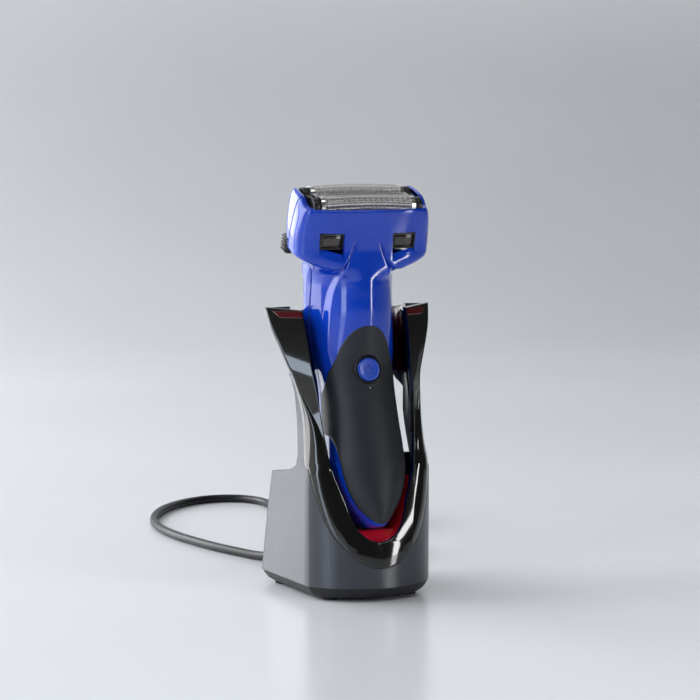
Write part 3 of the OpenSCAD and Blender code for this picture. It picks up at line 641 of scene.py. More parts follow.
def adapter():
    """The plug-in adapter: two half cases with a parting line, ribs and a pin face."""
    x, y = 70.0, 206.0 - Y0
    w, length, h = 30.0, 54.0, 27.0
    steps = [(0.0, 1.6), (0.35, 0.75), (1.0, 0.2), (1.9, 0.0), (27.2, 0.0), (27.35, 0.35),
             (27.75, 0.35), (27.9, 0.0), (51.6, 0.0), (52.9, 0.25), (53.7, 0.9), (54.0, 2.0)]
    rings = [outline_ring(w / 2 - inset, h / 2 - inset, 4.5, depth) for depth, inset in steps]
    turn = Matrix(((1, 0, 0, 0), (0, 0, 1, 0), (0, 1, 0, 0), (0, 0, 0, 1)))
    place = placed(HOME, x, y, h / 2 + 0.02) @ turn
    body = loft("adapter_case", rings, place)
    cut(body, soft_box("recess", (22, 2.4, 11), (x, y + length, 14), radius=0.6))
    dress(body, ADAPTER, "stand", "cord_black", ["adapter_body"], sharp=40)
    for k in range(5):
        rib = soft_box(f"adapter_rib_{k}", (1.0, 17, 0.9), (x - 8 + 4 * k, y + 15, h - 0.15),
                       radius=0.35)
        dress(rib, ADAPTER, "stand", "cord_black")
    prong = [(0, 0), (1.6, 0), (1.6, 6.2), (2.0, 6.6), (2.0, 22.6), (1.75, 24.2), (1.1, 24.9),
             (0, 25.0)]
    sleeve = [(0, 6.0), (2.0, 6.0), (2.12, 6.3), (2.12, 14.6), (2.0, 15.0), (0, 15.0)]
    pins = []
    for word, side in (("left", -9.5), ("right", 9.5)):
        place = placed(HOME, x + side, y + length - 6, 14)
        pins.append(lathe(f"adapter_pin_{word}", prong, place, axis="Y", around=32))
        collar = lathe(f"pin_sleeve_{word}", sleeve, place, axis="Y", around=32)
        dress(collar, BLACK, "stand", "cord_black")
    return body, dress_all("adapter_pins_turned", pins, SCREW, "stand", "contact_metal",
                           ["adapter_pins"])


def outline_ring(half_x, half_y, radius, z, count=64):
    """Round-cornered rectangle as a ring, evenly spaced in turn about its middle."""
    out = []
    for k in range(count):
        a = 2 * math.pi * (k + 0.5) / count
        c, s = abs(math.cos(a)), abs(math.sin(a))
        cx, cy = half_x - radius, half_y - radius
        if c * half_y > s * half_x and half_x / c * s <= cy:
            reach = half_x / c
        elif c * half_y <= s * half_x and half_y / s * c <= cx:
            reach = half_y / s
        else:
            dot = c * cx + s * cy
            reach = dot + math.sqrt(max(0.0, dot * dot - (cx * cx + cy * cy - radius**2)))
        out.append((reach * math.cos(a), reach * math.sin(a), z))
    return out


def tie():
    """A soft strap round the coil's bundle, with its end folded over."""
    w, h = 14.1, 13.3
    y = COIL_AT[1] - Y0 + 24.0
    outer, inner = [], []
    for k in range(7):
        swell = 0.12 * (1 - (k / 3 - 1) ** 2)
        for side, grow, radius in ((outer, swell, 2.4), (inner, -0.55, 2.0)):
            ring = outline_ring(w / 2 + grow, h / 2 + grow, radius, 0, 48)
            side.append([(COIL_AT[0] - 3 + k, y + p, q + h / 2 + 0.15) for p, q, _ in ring])
    rows = outer + inner[::-1] + [outer[0]]
    strap = loft("cord_strap", rows, caps=False)
    tab = soft_box("cord_strap_tab", (5.6, 7.0, 0.9), (COIL_AT[0], y - 1.5, h + 0.6), radius=0.3)
    dress(tab, RUBBER, "stand", "base_black")
    return dress(strap, RUBBER, "stand", "base_black", ["cord_tie"])


lead_obj, lead_line, lead_length = lead()
relief_obj = relief("lead_relief", (-8, 71 - Y0, 10.5), 22, 3.6, 2.55, 5, 1, "cord_relief")
far_relief = relief("adapter_relief_ribbed", (70, 208 - Y0, 10), 18, 3.8, 2.55, 4, -1,
                    "adapter_relief")
adapter_case, adapter_prongs = adapter()
strap_obj = tie()

# --- stand outlines ---

# Half width at the crease, rear depth and rear half width, then the depth of the face on the
# centre line and how it bows back off that line, all by height.
CREASE_W = Curve([[0, 30], [62, 30], [72, 29.3], [82, 29], [92, 29.9], [101, 31.6], [107, 33.7],
    [115, 36.4], [123, 39], [132, 40.6], [140, 41.5]])
REAR_Y = Curve([[0, 76], [6, 75.6], [53, 72], [62, 68], [80, 60], [100, 55.5], [116, 58],
    [132, 62.5], [140, 65]])
REAR_W = Curve([[0, 33.2], [6, 33], [53, 29], [62, 27.5], [80, 26.5], [100, 26.5], [116, 27],
    [132, 28], [140, 28]])
FACE_Y = Curve([[0, -1], [12, -0.3], [15.4, 0], [17.2, 0.2], [22.6, 0.8], [30.7, 2.2], [38, 3.8],
    [43.8, 5.2], [50, 6.6], [60, 9], [67, 11.8], [80, 16], [92, 20], [104.5, 26.4], [117, 31.6],
    [122, 33.8], [131.5, 38], [140, 41.6]])
BOW = Curve([[0, 100], [67, 100], [80, 110], [92, 125], [104.5, 180], [117, 280], [132, 380],
    [140, 400]])
# The bezel's lower end, as [half width, height].
BEZEL_U = [[0, 15.4], [4, 15.8], [8, 17.2], [11.5, 19.6], [14.8, 22.6], [18.4, 26.4],
    [21.6, 30.7], [24.4, 36.6], [26.5, 43.8], [28.2, 50.6], [29.4, 58]]
# The cradle's opening: its lowest point, and its half width by height.
MOUTH_Z = 27.2
MOUTH_W = Curve([[MOUTH_Z, 0.6], [28, 3.8], [30, 7.4], [34, 10.8], [40, 14.1], [46, 16],
    [52, 18.2], [60, 20.9], [72, 23], [84, 24.4], [99, 25.6], [111, 26.4], [124, 27], [132, 27.4],
    [140, 27.8]])
# Where the bezel's face breaks into its outer facet, as [height, half width].
FOLD = Curve([[14, 14.6], [28.5, 16.25], [40, 18], [51, 19.75], [62, 21.25], [70.5, 22.4],
    [77.5, 23.9], [84.5, 26.2], [92.5, 29], [97, 31.5], [107, 34], [123, 39.5], [140, 42]])
# How far the face stands proud at its inner edge and at the fold, and how far the inner edge
# reaches over the cradle's mouth, by height.
LIFT_IN = Curve([[14, 0], [45, 0], [60, 1.7], [74, 3.3], [100, 4.7], [131, 5.5], [140, 5.5]])
LIFT_FOLD = Curve([[14, 0], [20, 0.4], [30, 1.0], [51, 1.5], [66, 2.5], [74, 2.9], [84, 2.4],
    [92, 0.6], [98, 0], [140, 0]])
EDGE_IN = Curve([[14, 0], [34, 0], [41, 0.7], [50, 0.8], [60, 0.9], [74, 1.35], [100, 1.6],
    [131, 1.5], [140, 1.5]])
BEZEL_EDGE = Curve([[z, x] for x, z in BEZEL_U] + [[63, 30.1], [66, 46], [140, 46]])
ARC = math.radians(59)
WING_Z = 133.0
BEZEL_T = 2.0
STAND_WALL = 2.4
BLOCK_Z = 53.0
PLATE_Z = 6.4


def face(x, z):
    """Depth of the bezel's face."""
    return FACE_Y(z) + np.asarray(x) ** 2 / BOW(z)


def front_arc(x, z):
    """Depth of the stand's rounded front."""
    w = CREASE_W(z)
    yc = np.maximum(17, face(w, z) - 0.6)
    yf = np.minimum(0, yc - 17)
    a = np.arcsin(np.clip(np.abs(x) / w, 0, 1) * math.sin(ARC))
    return yf + (yc - yf) * (1 - np.cos(a)) / (1 - math.cos(ARC))


def bezel_depth(x, z):
    """The bezel's outside: its face or the stand's front, whichever is further back."""
    a, b = face(x, z), front_arc(x, z)
    gap = 0.8
    h = np.maximum(gap - np.abs(a - b), 0) / gap
    return np.maximum(a, b) + h * h * gap / 4


def bezel_front(x, z):
    """The bezel's visible face: two facets that meet at the fold, flush at the outer edge."""
    ax = np.abs(x)
    inner = np.where(z < MOUTH_Z, 0.0, MOUTH_W(z)) - EDGE_IN(z)
    outer = np.minimum(BEZEL_EDGE(z), CREASE_W(z))
    fold = np.clip(FOLD(z), inner + 0.3, outer - 0.2)
    within = lerp(LIFT_IN(z), LIFT_FOLD(z), np.clip((ax - inner) / (fold - inner), 0, 1))
    flush = bezel_depth(x, z) - front_arc(x, z)
    beyond = lerp(LIFT_FOLD(z), flush, np.clip((ax - fold) / (outer - fold), 0, 1))
    return bezel_depth(x, z) - np.where(ax < fold, within, beyond)


def stand_section(z, t):
    """The stand's outline at height z, drawn in by t, from the front apex round to itself."""
    arc, side, corner, back = 40, 10, 10, 8
    w = float(CREASE_W(z)) - t
    yc = max(17.0, float(face(w, z)) - 0.6)
    yf = min(0.0, yc - 17) + t
    ws, yr, rc = float(REAR_W(z)) - t, float(REAR_Y(z)) - t, 7.0
    half = [(w * math.sin(a) / math.sin(ARC),
             yf + (yc - yf) * (1 - math.cos(a)) / (1 - math.cos(ARC)))
            for a in np.linspace(0, ARC, arc + 1)]
    half += [(lerp(w, ws, i / side), lerp(yc, yr - rc, i / side)) for i in range(1, side + 1)]
    half += [(ws - rc * (1 - math.cos(a)), yr - rc + rc * math.sin(a))
             for a in np.linspace(0, math.pi / 2, corner + 1)[1:]]
    half += [(lerp(ws - rc, 0, i / back), yr) for i in range(1, back)]
    ring = half + [(0, yr)] + [(-x, y) for x, y in half[:0:-1]]
    return [(x, y - Y0, z) for x, y in ring]


def stand_solid(name, z0, z1, t, steps):
    return loft(name, [stand_section(z, t) for z in np.linspace(z0, z1, steps + 1)])


def along(line, fractions):
    """Points at these fractions of a polyline's length."""
    line = np.array(line, float)
    d = np.concatenate([[0], np.cumsum(np.linalg.norm(np.diff(line, axis=0), axis=1))])
    at = np.asarray(fractions) * d[-1]
    return np.column_stack([np.interp(at, d, column) for column in line.T])


def bezel_outer():
    """The bezel's outer edge from the left wing's tip down and round to the right one's."""
    low = passing([(x, 0, z) for x, z in BEZEL_U], 12)[:, [0, 2]]
    high = [(float(CREASE_W(z)), z) for z in np.linspace(62, 132.6, 90)]
    right = np.vstack([low, high])
    return np.vstack([right[::-1] * (-1, 1), right[1:]])


def bezel_inner():
    """The bezel's edge at the cradle's mouth, in the same sense."""
    zs = MOUTH_Z + (131.2 - MOUTH_Z) * np.linspace(0, 1, 160) ** 1.7
    right = np.column_stack([MOUTH_W(zs) - EDGE_IN(zs), zs])
    right[0, 0] = 0.0
    return np.vstack([right[::-1] * (-1, 1), right[1:]])


def bezel_band():
    """The glossy band between both edges, its rims rounded, its tips rounded."""
    rows, across, radius = 520, 44, 0.55
    outer, inner = (along(line, np.linspace(0, 1, rows)) for line in (bezel_outer(), bezel_inner()))
    u = np.concatenate([[0, 0.006, 0.02], np.linspace(0.045, 0.955, across), [0.98, 0.994, 1]])
    front, back = [], []
    for j in range(rows):
        line = lerp(inner[j], outer[j], u[:, None])
        width = np.linalg.norm(outer[j] - inner[j])
        edge = np.minimum(np.minimum(u, 1 - u) * width, min(j, rows - 1 - j) * radius)
        sink = radius - np.sqrt(np.maximum(0, radius**2 - np.maximum(0, radius - edge) ** 2))
        x, z = line.T
        front.append(np.column_stack([x, bezel_front(x, z) + sink - Y0, z]))
        back.append(np.column_stack([x, bezel_depth(x, z) + BEZEL_T - Y0, z]))
    dress(slab("stand_bezel_gloss", front, back), PIANO, "stand", "bezel_black",
          ["stand_bezel"], sharp=50)


def wing_strips():
    """Strips let into the tips of the wings: the liner's upper lip, its red painted dark as painted
    shade.
    """
    made = []
    for side in (-1, 1):
        front, back = [], []
        for f in np.linspace(0, 1, 24):
            z = 127.8 + 3.1 * f
            x0 = float(MOUTH_W(z) - EDGE_IN(z)) + 0.5
            x1 = float(CREASE_W(z)) - 2.2 - 2.5 * (1 - f)
            xs = np.linspace(x0, x1, 30)
            rim = np.minimum(np.minimum(xs - x0, x1 - xs), min(f, 1 - f) * 3.1)
            proud = 0.22 * smooth(rim / 0.35) + 0.02
            y = bezel_front(xs, z) - proud - Y0
            front.append([(side * x, d, z) for x, d in zip(xs, y)])
            back.append([(side * x, d, z) for x, d in zip(xs, y + proud + 0.3)])
        made.append(slab(f"strip{side:+d}", front, back))
    dress_all("wing_strips_red", made, LIP_RED_PAINTED_SHADE, "stand", "liner_red")


# Side view of what the stand keeps behind its face: columns, window, collar and rear block.
WINDOW_FRONT = Curve([[61, 31.5], [82, 36.5], [97, 39.5]])
STAND_SIDE = (
    [(-6, PLATE_Z), (-6, 136), (34, 134.5), (64, 128), (62, 104), (60, 101), (46, 99),
     (42.5, 96.5)]
    + [(float(WINDOW_FRONT(z)), z) for z in np.linspace(94, 61, 30)]
    + [(33.2, 61.0), (34.6, 60.0), (37, 58.9), (41, 57.6), (46, 56.4), (52, 55.2), (58, 54.1)]
    + [(66.4 + 5.9 * math.sin(a), 47.6 + 5.9 * math.cos(a)) for a in np.radians(range(8, 89, 8))]
    + [(73.5, 44), (80, PLATE_Z)])


def bezel_levels():
    """The bezel's outline as [height, half width]."""
    edge = passing([(x, 0, z) for x, z in BEZEL_U], 6)[:, [2, 0]]
    levels = [(z, max(x + 0.12, 0.05)) for z, x in edge] + [(60, 30.0), (62, 31.5), (64, 40)]
    return levels + [(z, 50) for z in np.linspace(66, 138, 73)]


def front_cutter(t, levels):
    """What lies in front of the bezel's outside moved back by t, within the levels."""
    rings = []
    for z, half in levels:
        xs = np.linspace(-half, half, 61)
        y = bezel_depth(xs, z) + t - Y0
        rings.append([(x, d, z) for x, d in zip(xs, y)] + [(half, -90, z), (-half, -90, z)])
    return loft("front", rings)


def cup_section(z, t):
    """The liner's outline at height z, grown by t and open to the front."""
    w = float(MOUTH_W(z)) + t
    yb = 22 + (11.2 + (z - 30) * SIN_L) / COS_L + t
    r = min(w - 0.3, 12 + t)
    turn = [math.pi / 2 * i / 14 for i in range(15)]
    ring = [(-w, -20), (w, -20)]
    ring += [(w - r + r * math.cos(a), yb - r + r * math.sin(a)) for a in turn]
    ring += [(-w + r - r * math.cos(a), yb - r + r * math.sin(a)) for a in turn[::-1]]
    return [(x, y - Y0, z) for x, y in ring]


def cup(name, t, z1):
    """The cradle's inside up to z1, grown by t."""
    zs = MOUTH_Z + 0.1 + (z1 - MOUTH_Z) * np.linspace(0, 1, 60) ** 1.4
    return loft(name, [cup_section(z, t) for z in zs])


def stand_shell():
    """The satin housing with its rear block, columns, window, wings and collar."""
    shell = stand_solid("stand_shell_satin", PLATE_Z, WING_Z, 0, 120)
    keep = side_prism("side", STAND_SIDE, 60)
    spine = side_prism("spine", [(30, 50), (30, 106), (80, 106), (80, 50)], 15)
    combine(keep, spine, "UNION")
    combine(shell, keep, "INTERSECT")
    hollow = stand_solid("hollow", PLATE_Z - 1, WING_Z + 1, STAND_WALL, 60)
    roof = BLOCK_Z - STAND_WALL
    cut(hollow, side_prism("roof", [(30, roof), (90, roof), (90, 64), (30, 64)], 60),
        side_prism("tops", [(-10, 131), (34, 130), (70, 123), (70, 140), (-10, 140)], 60))
    hole = lathe("hole", [(0, 0), (3.7, 0), (3.7, 30), (0, 30)],
                 placed(HOME, -8, 60 - Y0, 10.5), axis="Y")
    cut(shell, front_cutter(BEZEL_T - 0.02, bezel_levels()), hollow, cup("cup", 1.45, 141), hole)
    dress(shell, SATIN, "stand", "shell_grey", ["stand_shell"], sharp=38)


def cradle_liner():
    """The glossy red cradle: a cup below and a collar above."""
    liner = cup("cradle_liner_red", 1.3, WING_Z - 1.6)
    lip = side_prism("lip", [(5.5, 24), (34, 24), (34, 40), (5.5, 34)], 14)
    combine(liner, lip, "UNION")
    cut(liner, front_cutter(BEZEL_T + 0.05, [(z, 46) for z in np.linspace(5, 138, 90)]))
    low = [(-6, 20), (-6, 55), (31, 55), (34, 51), (33, 24)]
    high = [(28, 101), (28, 133.6), (60, 127.6), (58, 103), (46, 101)]
    keep = joined(side_prism("low", low, 50), side_prism("high", high, 50))
    combine(liner, keep, "INTERSECT")
    space = cup("space", 0, 141)
    floor_line = [(-20, 20), (40, 20), (40, 27.6), (30, 27.6), (19, 29.6), (12.6, 29.8),
                  (12.2, 31.5), (11.2, 32.1), (9.8, 32.0), (8.4, 31.0), (6.8, 29.3),
                  (5.2, 28.0), (4.2, MOUTH_Z + 0.25), (-20, MOUTH_Z + 0.2)]
    cut(space, side_prism("bottom", floor_line, 50))
    tower = soft_box("tower", (14.6, 10.6, 40), (0, -4.5, 0), LEAN, radius=0.01, segments=1)
    cut(liner, space, tower)
    dress(liner, RED, "stand", "liner_red", ["cradle_liner"], sharp=38)


def base_plate():
    """The chamfered base with softened edges."""
    levels = [(1.6, 4.5), (1.62, 4.2), (2.45, 2.9), (2.6, 2.65), (2.8, 2.45), (4.4, 1.3),
              (4.6, 1.15), (4.85, 1.05), (6.1, 0.42), (6.3, 0.38), (6.38, 0.5)]
    plate = loft("base_plate_soft", [stand_section(z, t) for z, t in levels])
    dress(plate, BASE, "stand", "base_black", ["base_plate"], sharp=24)


def feet():
    """Four turned rubber feet under the base."""
    profile = [(0, 0), (3.5, 0), (3.95, 0.15), (4.2, 0.55), (4.2, 1.6), (0, 1.6)]
    made = [lathe(f"foot_{k}", profile, placed(HOME, x, y - Y0, 0), around=40)
            for k, (x, y) in enumerate([(19, 17), (-19, 17), (24, 64), (-24, 64)])]
    dress(joined(*made), FOOT, "stand", "foot_rubber", ["stand_feet"])


def charging_pins():
    """Two round-nosed pins that stand in the cradle."""
    profile = [(0, -10), (0.8, -10), (0.8, 6.6), (0.62, 7.15), (0.3, 7.45), (0, 7.5)]
    made = [lathe("pin", profile, placed(LEAN, x, -4.5, 0), around=24) for x in (-2.5, 2.5)]
    dress_all("charging_pins_turned", made, CONTACT, "stand", "contact_metal", ["contact_pins"])


bezel_band()
wing_strips()
stand_shell()
cradle_liner()
base_plate()
feet()
charging_pins()

# --- handset skin ---


def body_row(s, half, front, rear, front_power, rear_power):
    return [s, 22 - 4.5 * COS_L + s * SIN_L, 30 + 4.5 * SIN_L + s * COS_L, -LEAN_DEG, half,
            front, rear, front_power, rear_power]


def head_row(s, z, front, rear, half, front_power, rear_power):
    mid, reach = (front + rear) / 2, (rear - front) / 2
    return [s, 31.5 + mid * COS_H - z * SIN_H, 155 + mid * SIN_H + z * COS_H, HEAD_DEG, half,
            reach, reach, front_power, rear_power]


# Rows of [s, depth, height, tilt, half width, front, rear, front power, rear power].
SKIN = Curve([
    body_row(0, 4, 17, 10, 2.2, 2.4), body_row(1.5, 6, 18, 11.5, 2.2, 2.4),
    body_row(6, 9.6, 19.4, 13, 2.2, 2.5), body_row(15, 15.2, 20.5, 14.2, 2.2, 2.6),
    body_row(27, 18.6, 20.4, 14.5, 2.2, 3.5), body_row(36, 18, 19.6, 14.5, 2.2, 3.5),
    body_row(52, 16.9, 17.8, 14.5, 2.2, 3.5), body_row(71, 17, 15.4, 14.5, 2, 3.5),
    [81, 36.9, 109.7, -9, 19.2, 19.3, 12.8, 1.8, 3.2],
    [92, 40.2, 120.7, -5, 21, 23.6, 11.8, 1.65, 2.7],
    [101, 41.6, 130, -1, 21.6, 25.6, 11.8, 1.6, 2.6],
    [110, 42, 139.2, 4, 21.6, 26, 11.2, 1.6, 2.6],
    [118, 40.8, 146.9, 9.5, 21.4, 25, 11.2, 1.6, 2.6],
    [123.5, 37, 151.3, 15, 21.6, 21.2, 12.6, 1.7, 2.8],
    head_row(126, -1.6, -16, 14.6, 23.4, 2.2, 3), head_row(129, 1, -15, 14, 29, 2.6, 3.2),
    head_row(131.5, 3.4, -14, 14.6, 32.6, 2.8, 3.4), head_row(136, 8, -12.3, 15.6, 33.3, 3, 3.6),
    head_row(142, 14, -10.8, 16.8, 33.2, 3.4, 4), head_row(149, 21, -9.8, 18.6, 32.2, 4.4, 4.6),
    head_row(153, 24.8, -9.5, 19.2, 31, 5, 5), head_row(154.8, 26.4, -9.2, 19, 29.8, 5.4, 5.4)])
SKIN_END = 154.8
# Depth of the seam between the front and rear shells, by height.
SEAM = Curve([[20, 21], [60, 28.7], [98, 36], [112, 37.6], [126, 38.6], [146, 37.4], [156, 34.5],
    [170, 29.85], [185, 24.85]])
# Half width of the front stem's crease, by height, and height of the cheeks' lower edge.
STEM = Curve([[108, 17.2], [118, 16.6], [125, 16.3], [132, 15.9], [140, 14.8], [145, 13.3],
    [150, 11.3], [155, 9.0], [159, 7.4], [170, 5.0]])
CHEEK = Curve([[0, 166], [6, 163], [8.5, 156.5], [10.5, 152.8], [13, 150.6], [16, 149.6],
    [20, 149.9], [25, 151.6], [29, 153.6], [34, 156.4]])


def hollow_depth(x, z):
    """How far the neck's flanks lie behind the stem's crease and the cheeks' edge."""
    ax = np.abs(x)
    beside = smooth((ax - STEM(z)) / 1.8 + 0.5)
    below = smooth((CHEEK(ax) - z) / 1.8 + 0.5)
    return 2.2 * beside * below * smooth((z - 112) / 16)


def skin(s, a, t=0.0):
    """Points of the handset's outside at station s and angles a, moved out by t."""
    row = SKIN(s)
    depth, height, tilt, half, front, rear, fp, rp = (row[..., k] for k in range(8))
    c, sn = np.cos(a), np.sin(a)
    ahead = sn < 0
    power = np.where(ahead, fp, rp)
    reach = np.where(ahead, front, rear) + t
    x = (half + t) * np.sign(c) * np.abs(c) ** (2 / power)
    soft = np.where(ahead, 0.22, 0.0)
    ratio = np.abs(x / (half + t))
    worn = ((ratio**2 + soft**2) ** (power / 2) - soft**power) / (
        (1 + soft**2) ** (power / 2) - soft**power)
    d = reach * np.maximum(0, 1 - worn) ** (1 / power)
    d = np.where(ahead, -d, d)
    z0 = height + d * np.sin(np.radians(tilt))
    inset = np.minimum(hollow_depth(x, z0), 0.4 * np.abs(d))
    d = np.where(ahead, d + inset, d)
    flare = np.where(ahead, 0.0, np.abs(sn)) * np.exp(-(((s - 121) / 5.5) ** 2))
    x = x * (1 + 0.14 * flare)
    d = d + 6 * flare
    tilt = np.radians(tilt)
    p = np.stack([x, depth + d * np.cos(tilt) - Y0, height + d * np.sin(tilt)], axis=-1)
    ear = 3.2 * smooth((np.abs(x) - 23) / 6) * smooth((s - 142) / 12) * smooth((d + 9) / 9)
    p[..., 1] -= ear * SIN_H
    p[..., 2] += ear * COS_H
    return p


def seam_arc(s, t, ahead, gap, limit=None):
    """The front or rear part of a section, from one seam round to the other."""
    way = -1 if ahead else 1
    a = way * np.linspace(-math.pi / 2, math.pi / 2, 500)
    p = skin(np.full(a.shape, s), a, t)
    behind = p[:, 1] + Y0 - SEAM(p[:, 2])
    past = gap - way * behind
    if limit is not None:
        wide = np.abs(p[:, 0]) + 0.8 * smooth((p[:, 2] - 84) / 6) * np.maximum(0, behind + 9)
        past = np.maximum(past, wide - limit(p[:, 2]))
    if not (past < 0).any():
        return None
    k = int(np.argmax(past < 0))
    part = p[k:]
    if k:
        u = np.clip(past[k] / (past[k] - past[k - 1]), 0, 1)
        part = np.vstack([lerp(p[k], p[k - 1], u), part])
    return np.vstack([part[:-1], [part[-1] * (0, 1, 1)], (part[:-1] * (-1, 1, 1))[::-1]])


def half_shell(name, ahead):
    """The front or rear shell: a wall with rounded seam and rim edges."""
    stations = np.concatenate([
        [0, 0.25, 0.7, 1.5, 2.6, 3.98, 4.0], np.arange(5.2, 100, 1.2),
        np.arange(100, 153.6, 0.55), [153.8, 154.2, 154.5, 154.7, SKIN_END]])
    inset = {0.0: -1.2, 0.25: -0.55, 0.7: -0.15, 154.5: -0.07, 154.7: -0.22, SKIN_END: -0.5}
    outer, inner = [], []
    for s in stations:
        line = seam_arc(s, inset.get(float(s), 0.0), ahead, SEAM_GAP)
        length = np.linalg.norm(np.diff(line, axis=0), axis=1).sum()
        edge = np.array([0, 0.1, 0.3]) / length
        middle = np.linspace(0.55 / length, 1 - 0.55 / length, 150)
        f = np.concatenate([edge, middle, 1 - edge[::-1]])
        out = along(line, f)
        if s < 4.0:
            inner.append(lerp(line[0], line[-1], f[:, None]))
        else:
            lip = 0.25 if s == SKIN_END else 0.0
            wall = along(seam_arc(s, -WALL - lip, ahead, SEAM_GAP), f)
            drop = np.zeros(len(f))
            drop[:3] = drop[-1:-4:-1] = (0.28, 0.08, 0.0)
            out = out + (wall - out) * (drop / WALL)[:, None]
            inner.append(wall)
        outer.append(out)
    return slab(name, outer, inner)


def window_cutter(side):
    """A window's recess, with a scooped ledge below it."""
    profile = [(-8.9, 15.8), (-16, 16.3), (-22, 16.8), (-22, -3), (-14.2, 2.6), (-12.2, 4.6),
               (-10.4, 6.9), (-9.2, 8.1), (-8.9, 8.3)]
    x, half = side * WINDOW_X, 5.8
    return prism(f"cut_window{side:+d}", profile, x - half, x + half, HEAD)


def bore_y(name, y, z, length, radius, around=64):
    """A round cutter square to the body's axis, on the centre line."""
    profile = [(0, 0), (radius, 0), (radius, length), (0, length)]
    return lathe(name, profile, placed(LEAN, 0, y, z), around=around, axis="Y")


def button_cut(radius):
    return bore_y("cut_button", -26, BUTTON_Z, 14, radius)


def lamp_cut(radius):
    return bore_y("cut_lamp", -26, LAMP_Z, 14, radius, 32)


def release_cut():
    return soft_box("cut_release", (80, 7.4, 8.4), (0, 8.5, 4.6), HEAD, radius=1.0)


def socket_cut():
    return soft_box("cut_socket", (12.8, 9.4, 12), (0, -4.5, 1), LEAN, radius=0.8)


def front_shell():
    shell = half_shell("front_shell_gloss", True)
    cut(shell, window_cutter(-1), window_cutter(1), button_cut(6.75), lamp_cut(1.1),
        release_cut(), socket_cut())
    dress(shell, BLUE, "handset", "body_blue", ["front_shell"], sharp=36)


def rear_shell():
    shell = half_shell("rear_shell_gloss", False)
    cut(shell, release_cut(), socket_cut(),
        soft_box("cut_trimmer", (25.6, 8, 14.4), (0, 53 - Y0, 140), radius=0.5),
        *[bore_y("cut_screw", 4, z, 20, 1.65, 32) for z in SCREWS_Z])
    dress(shell, BLUE, "handset", "body_blue", ["rear_shell"], sharp=36)


PANEL = Curve([[35.8, 0.0], [36.0, 1.6], [36.6, 3.2], [39.2, 6.4], [43.5, 10], [49.5, 13],
    [56.5, 15], [63, 15.9], [70, 16.4], [76, 18.2], [79, 22.5], [82, 40], [88, 40], [89.6, 27],
    [92, 23.6], [95, 20.4], [98, 18.2], [101.5, 16.6], [105, 15.2], [109, 13.6], [113.5, 12.2],
    [118, 10.2], [121.8, 7.4], [124, 4], [124.6, 2.0], [124.8, 0.0]])


def grip_panel():
    """The rubber panel: a thin raised sheet with a rounded border."""
    s_at = np.linspace(0, 120, 4801)
    tops = skin(s_at, np.full(s_at.shape, -math.pi / 2), 0.5)[:, 2]
    s0, s1 = np.interp([35.85, 124.75], tops, s_at)
    ends = np.array([0, 0.03, 0.08, 0.16, 0.28, 0.45, 0.7, 1.0, 1.4, 1.9, 2.5])
    stations = np.concatenate([s0 + ends, np.arange(s0 + 3.2, s1 - 3.0, 0.7), (s1 - ends)[::-1]])
    outer, inner = [], []
    for s in stations:
        top, low = (seam_arc(s, t, True, 0.6, PANEL) for t in (0.5, -0.15))
        if top is None or low is None:
            continue
        length = max(np.linalg.norm(np.diff(top, axis=0), axis=1).sum(), 1e-6)
        edge = np.minimum(np.array([0, 0.06, 0.2, 0.42]), length * 0.1) / length
        start = edge[-1] * 1.8 + 1e-4
        f = np.concatenate([edge, np.linspace(start, 1 - start, 110), 1 - edge[::-1]])
        top, low = along(top, f), along(low, f)
        near = min(s - s0, s1 - s) + 0.01
        rim = np.minimum(np.minimum(f, 1 - f) * length, near)
        drop = 0.42 - np.sqrt(np.maximum(0, 0.42**2 - np.maximum(0, 0.42 - rim) ** 2))
        top = top + (low - top) * (drop / 0.65)[:, None]
        outer.append(top)
        inner.append(low)
    panel = slab("grip_panel_rubber", outer, inner)
    cut(panel, button_cut(6.7), lamp_cut(1.05))
    dress(panel, RUBBER, "handset", "grip_rubber", ["grip_panel"], sharp=40)


front_shell()
rear_shell()
grip_panel()

# --- buttons, lamp, windows ---


def power_button():
    """A dished button with a plain ring and bar, and the seal ring round it."""
    spot = placed(LEAN, 0, 0, BUTTON_Z)
    dish = [(0, -21.02), (2.2, -21.04), (4.2, -21.12), (4.75, -21.2), (5.1, -21.1), (5.3, -20.8),
            (5.3, -19.4), (1.6, -19.4), (1.6, -15.6), (0, -15.6)]
    button = lathe("power_button_dished", dish, spot, axis="Y", around=72)
    dress(button, BUTTON, "power_button", "button_blue", ["power_button"])
    arc = [(1.75 * math.sin(a), -21.1, 1.75 * math.cos(a))
           for a in np.radians(np.linspace(38, 322, 40))]
    ring = tube("power_mark_ring", arc, 0.13, spot)
    bar = tube("power_mark_bar", [(0, -21.08, z) for z in (0.5, 1.0, 1.6, 2.1)], 0.13, spot)
    dress(joined(ring, bar), MARK, "power_button", "button_blue")
    lip = [(5.55, -18.0), (5.5, -20.2), (5.62, -20.55), (5.95, -20.72), (6.35, -20.6),
           (6.6, -20.25), (6.6, -18.0)]
    seal = lathe("button_seal_ring", lip, spot, axis="Y", around=72, caps=False)
    dress(seal, SEAL, "handset", "seal_rubber", ["button_seal"])


def lamp():
    """The charge lamp's small dome."""
    spot = placed(LEAN, 0, 0, LAMP_Z)
    dome = [(0, -20.9), (0.4, -20.85), (0.75, -20.7), (0.92, -20.45), (0.95, -20.1),
            (0.95, -14.4), (0, -14.4)]
    dress(lathe("charge_lamp_dome", dome, spot, axis="Y", around=24), LENS, "handset",
          "lamp_lens", ["charge_lamp"])


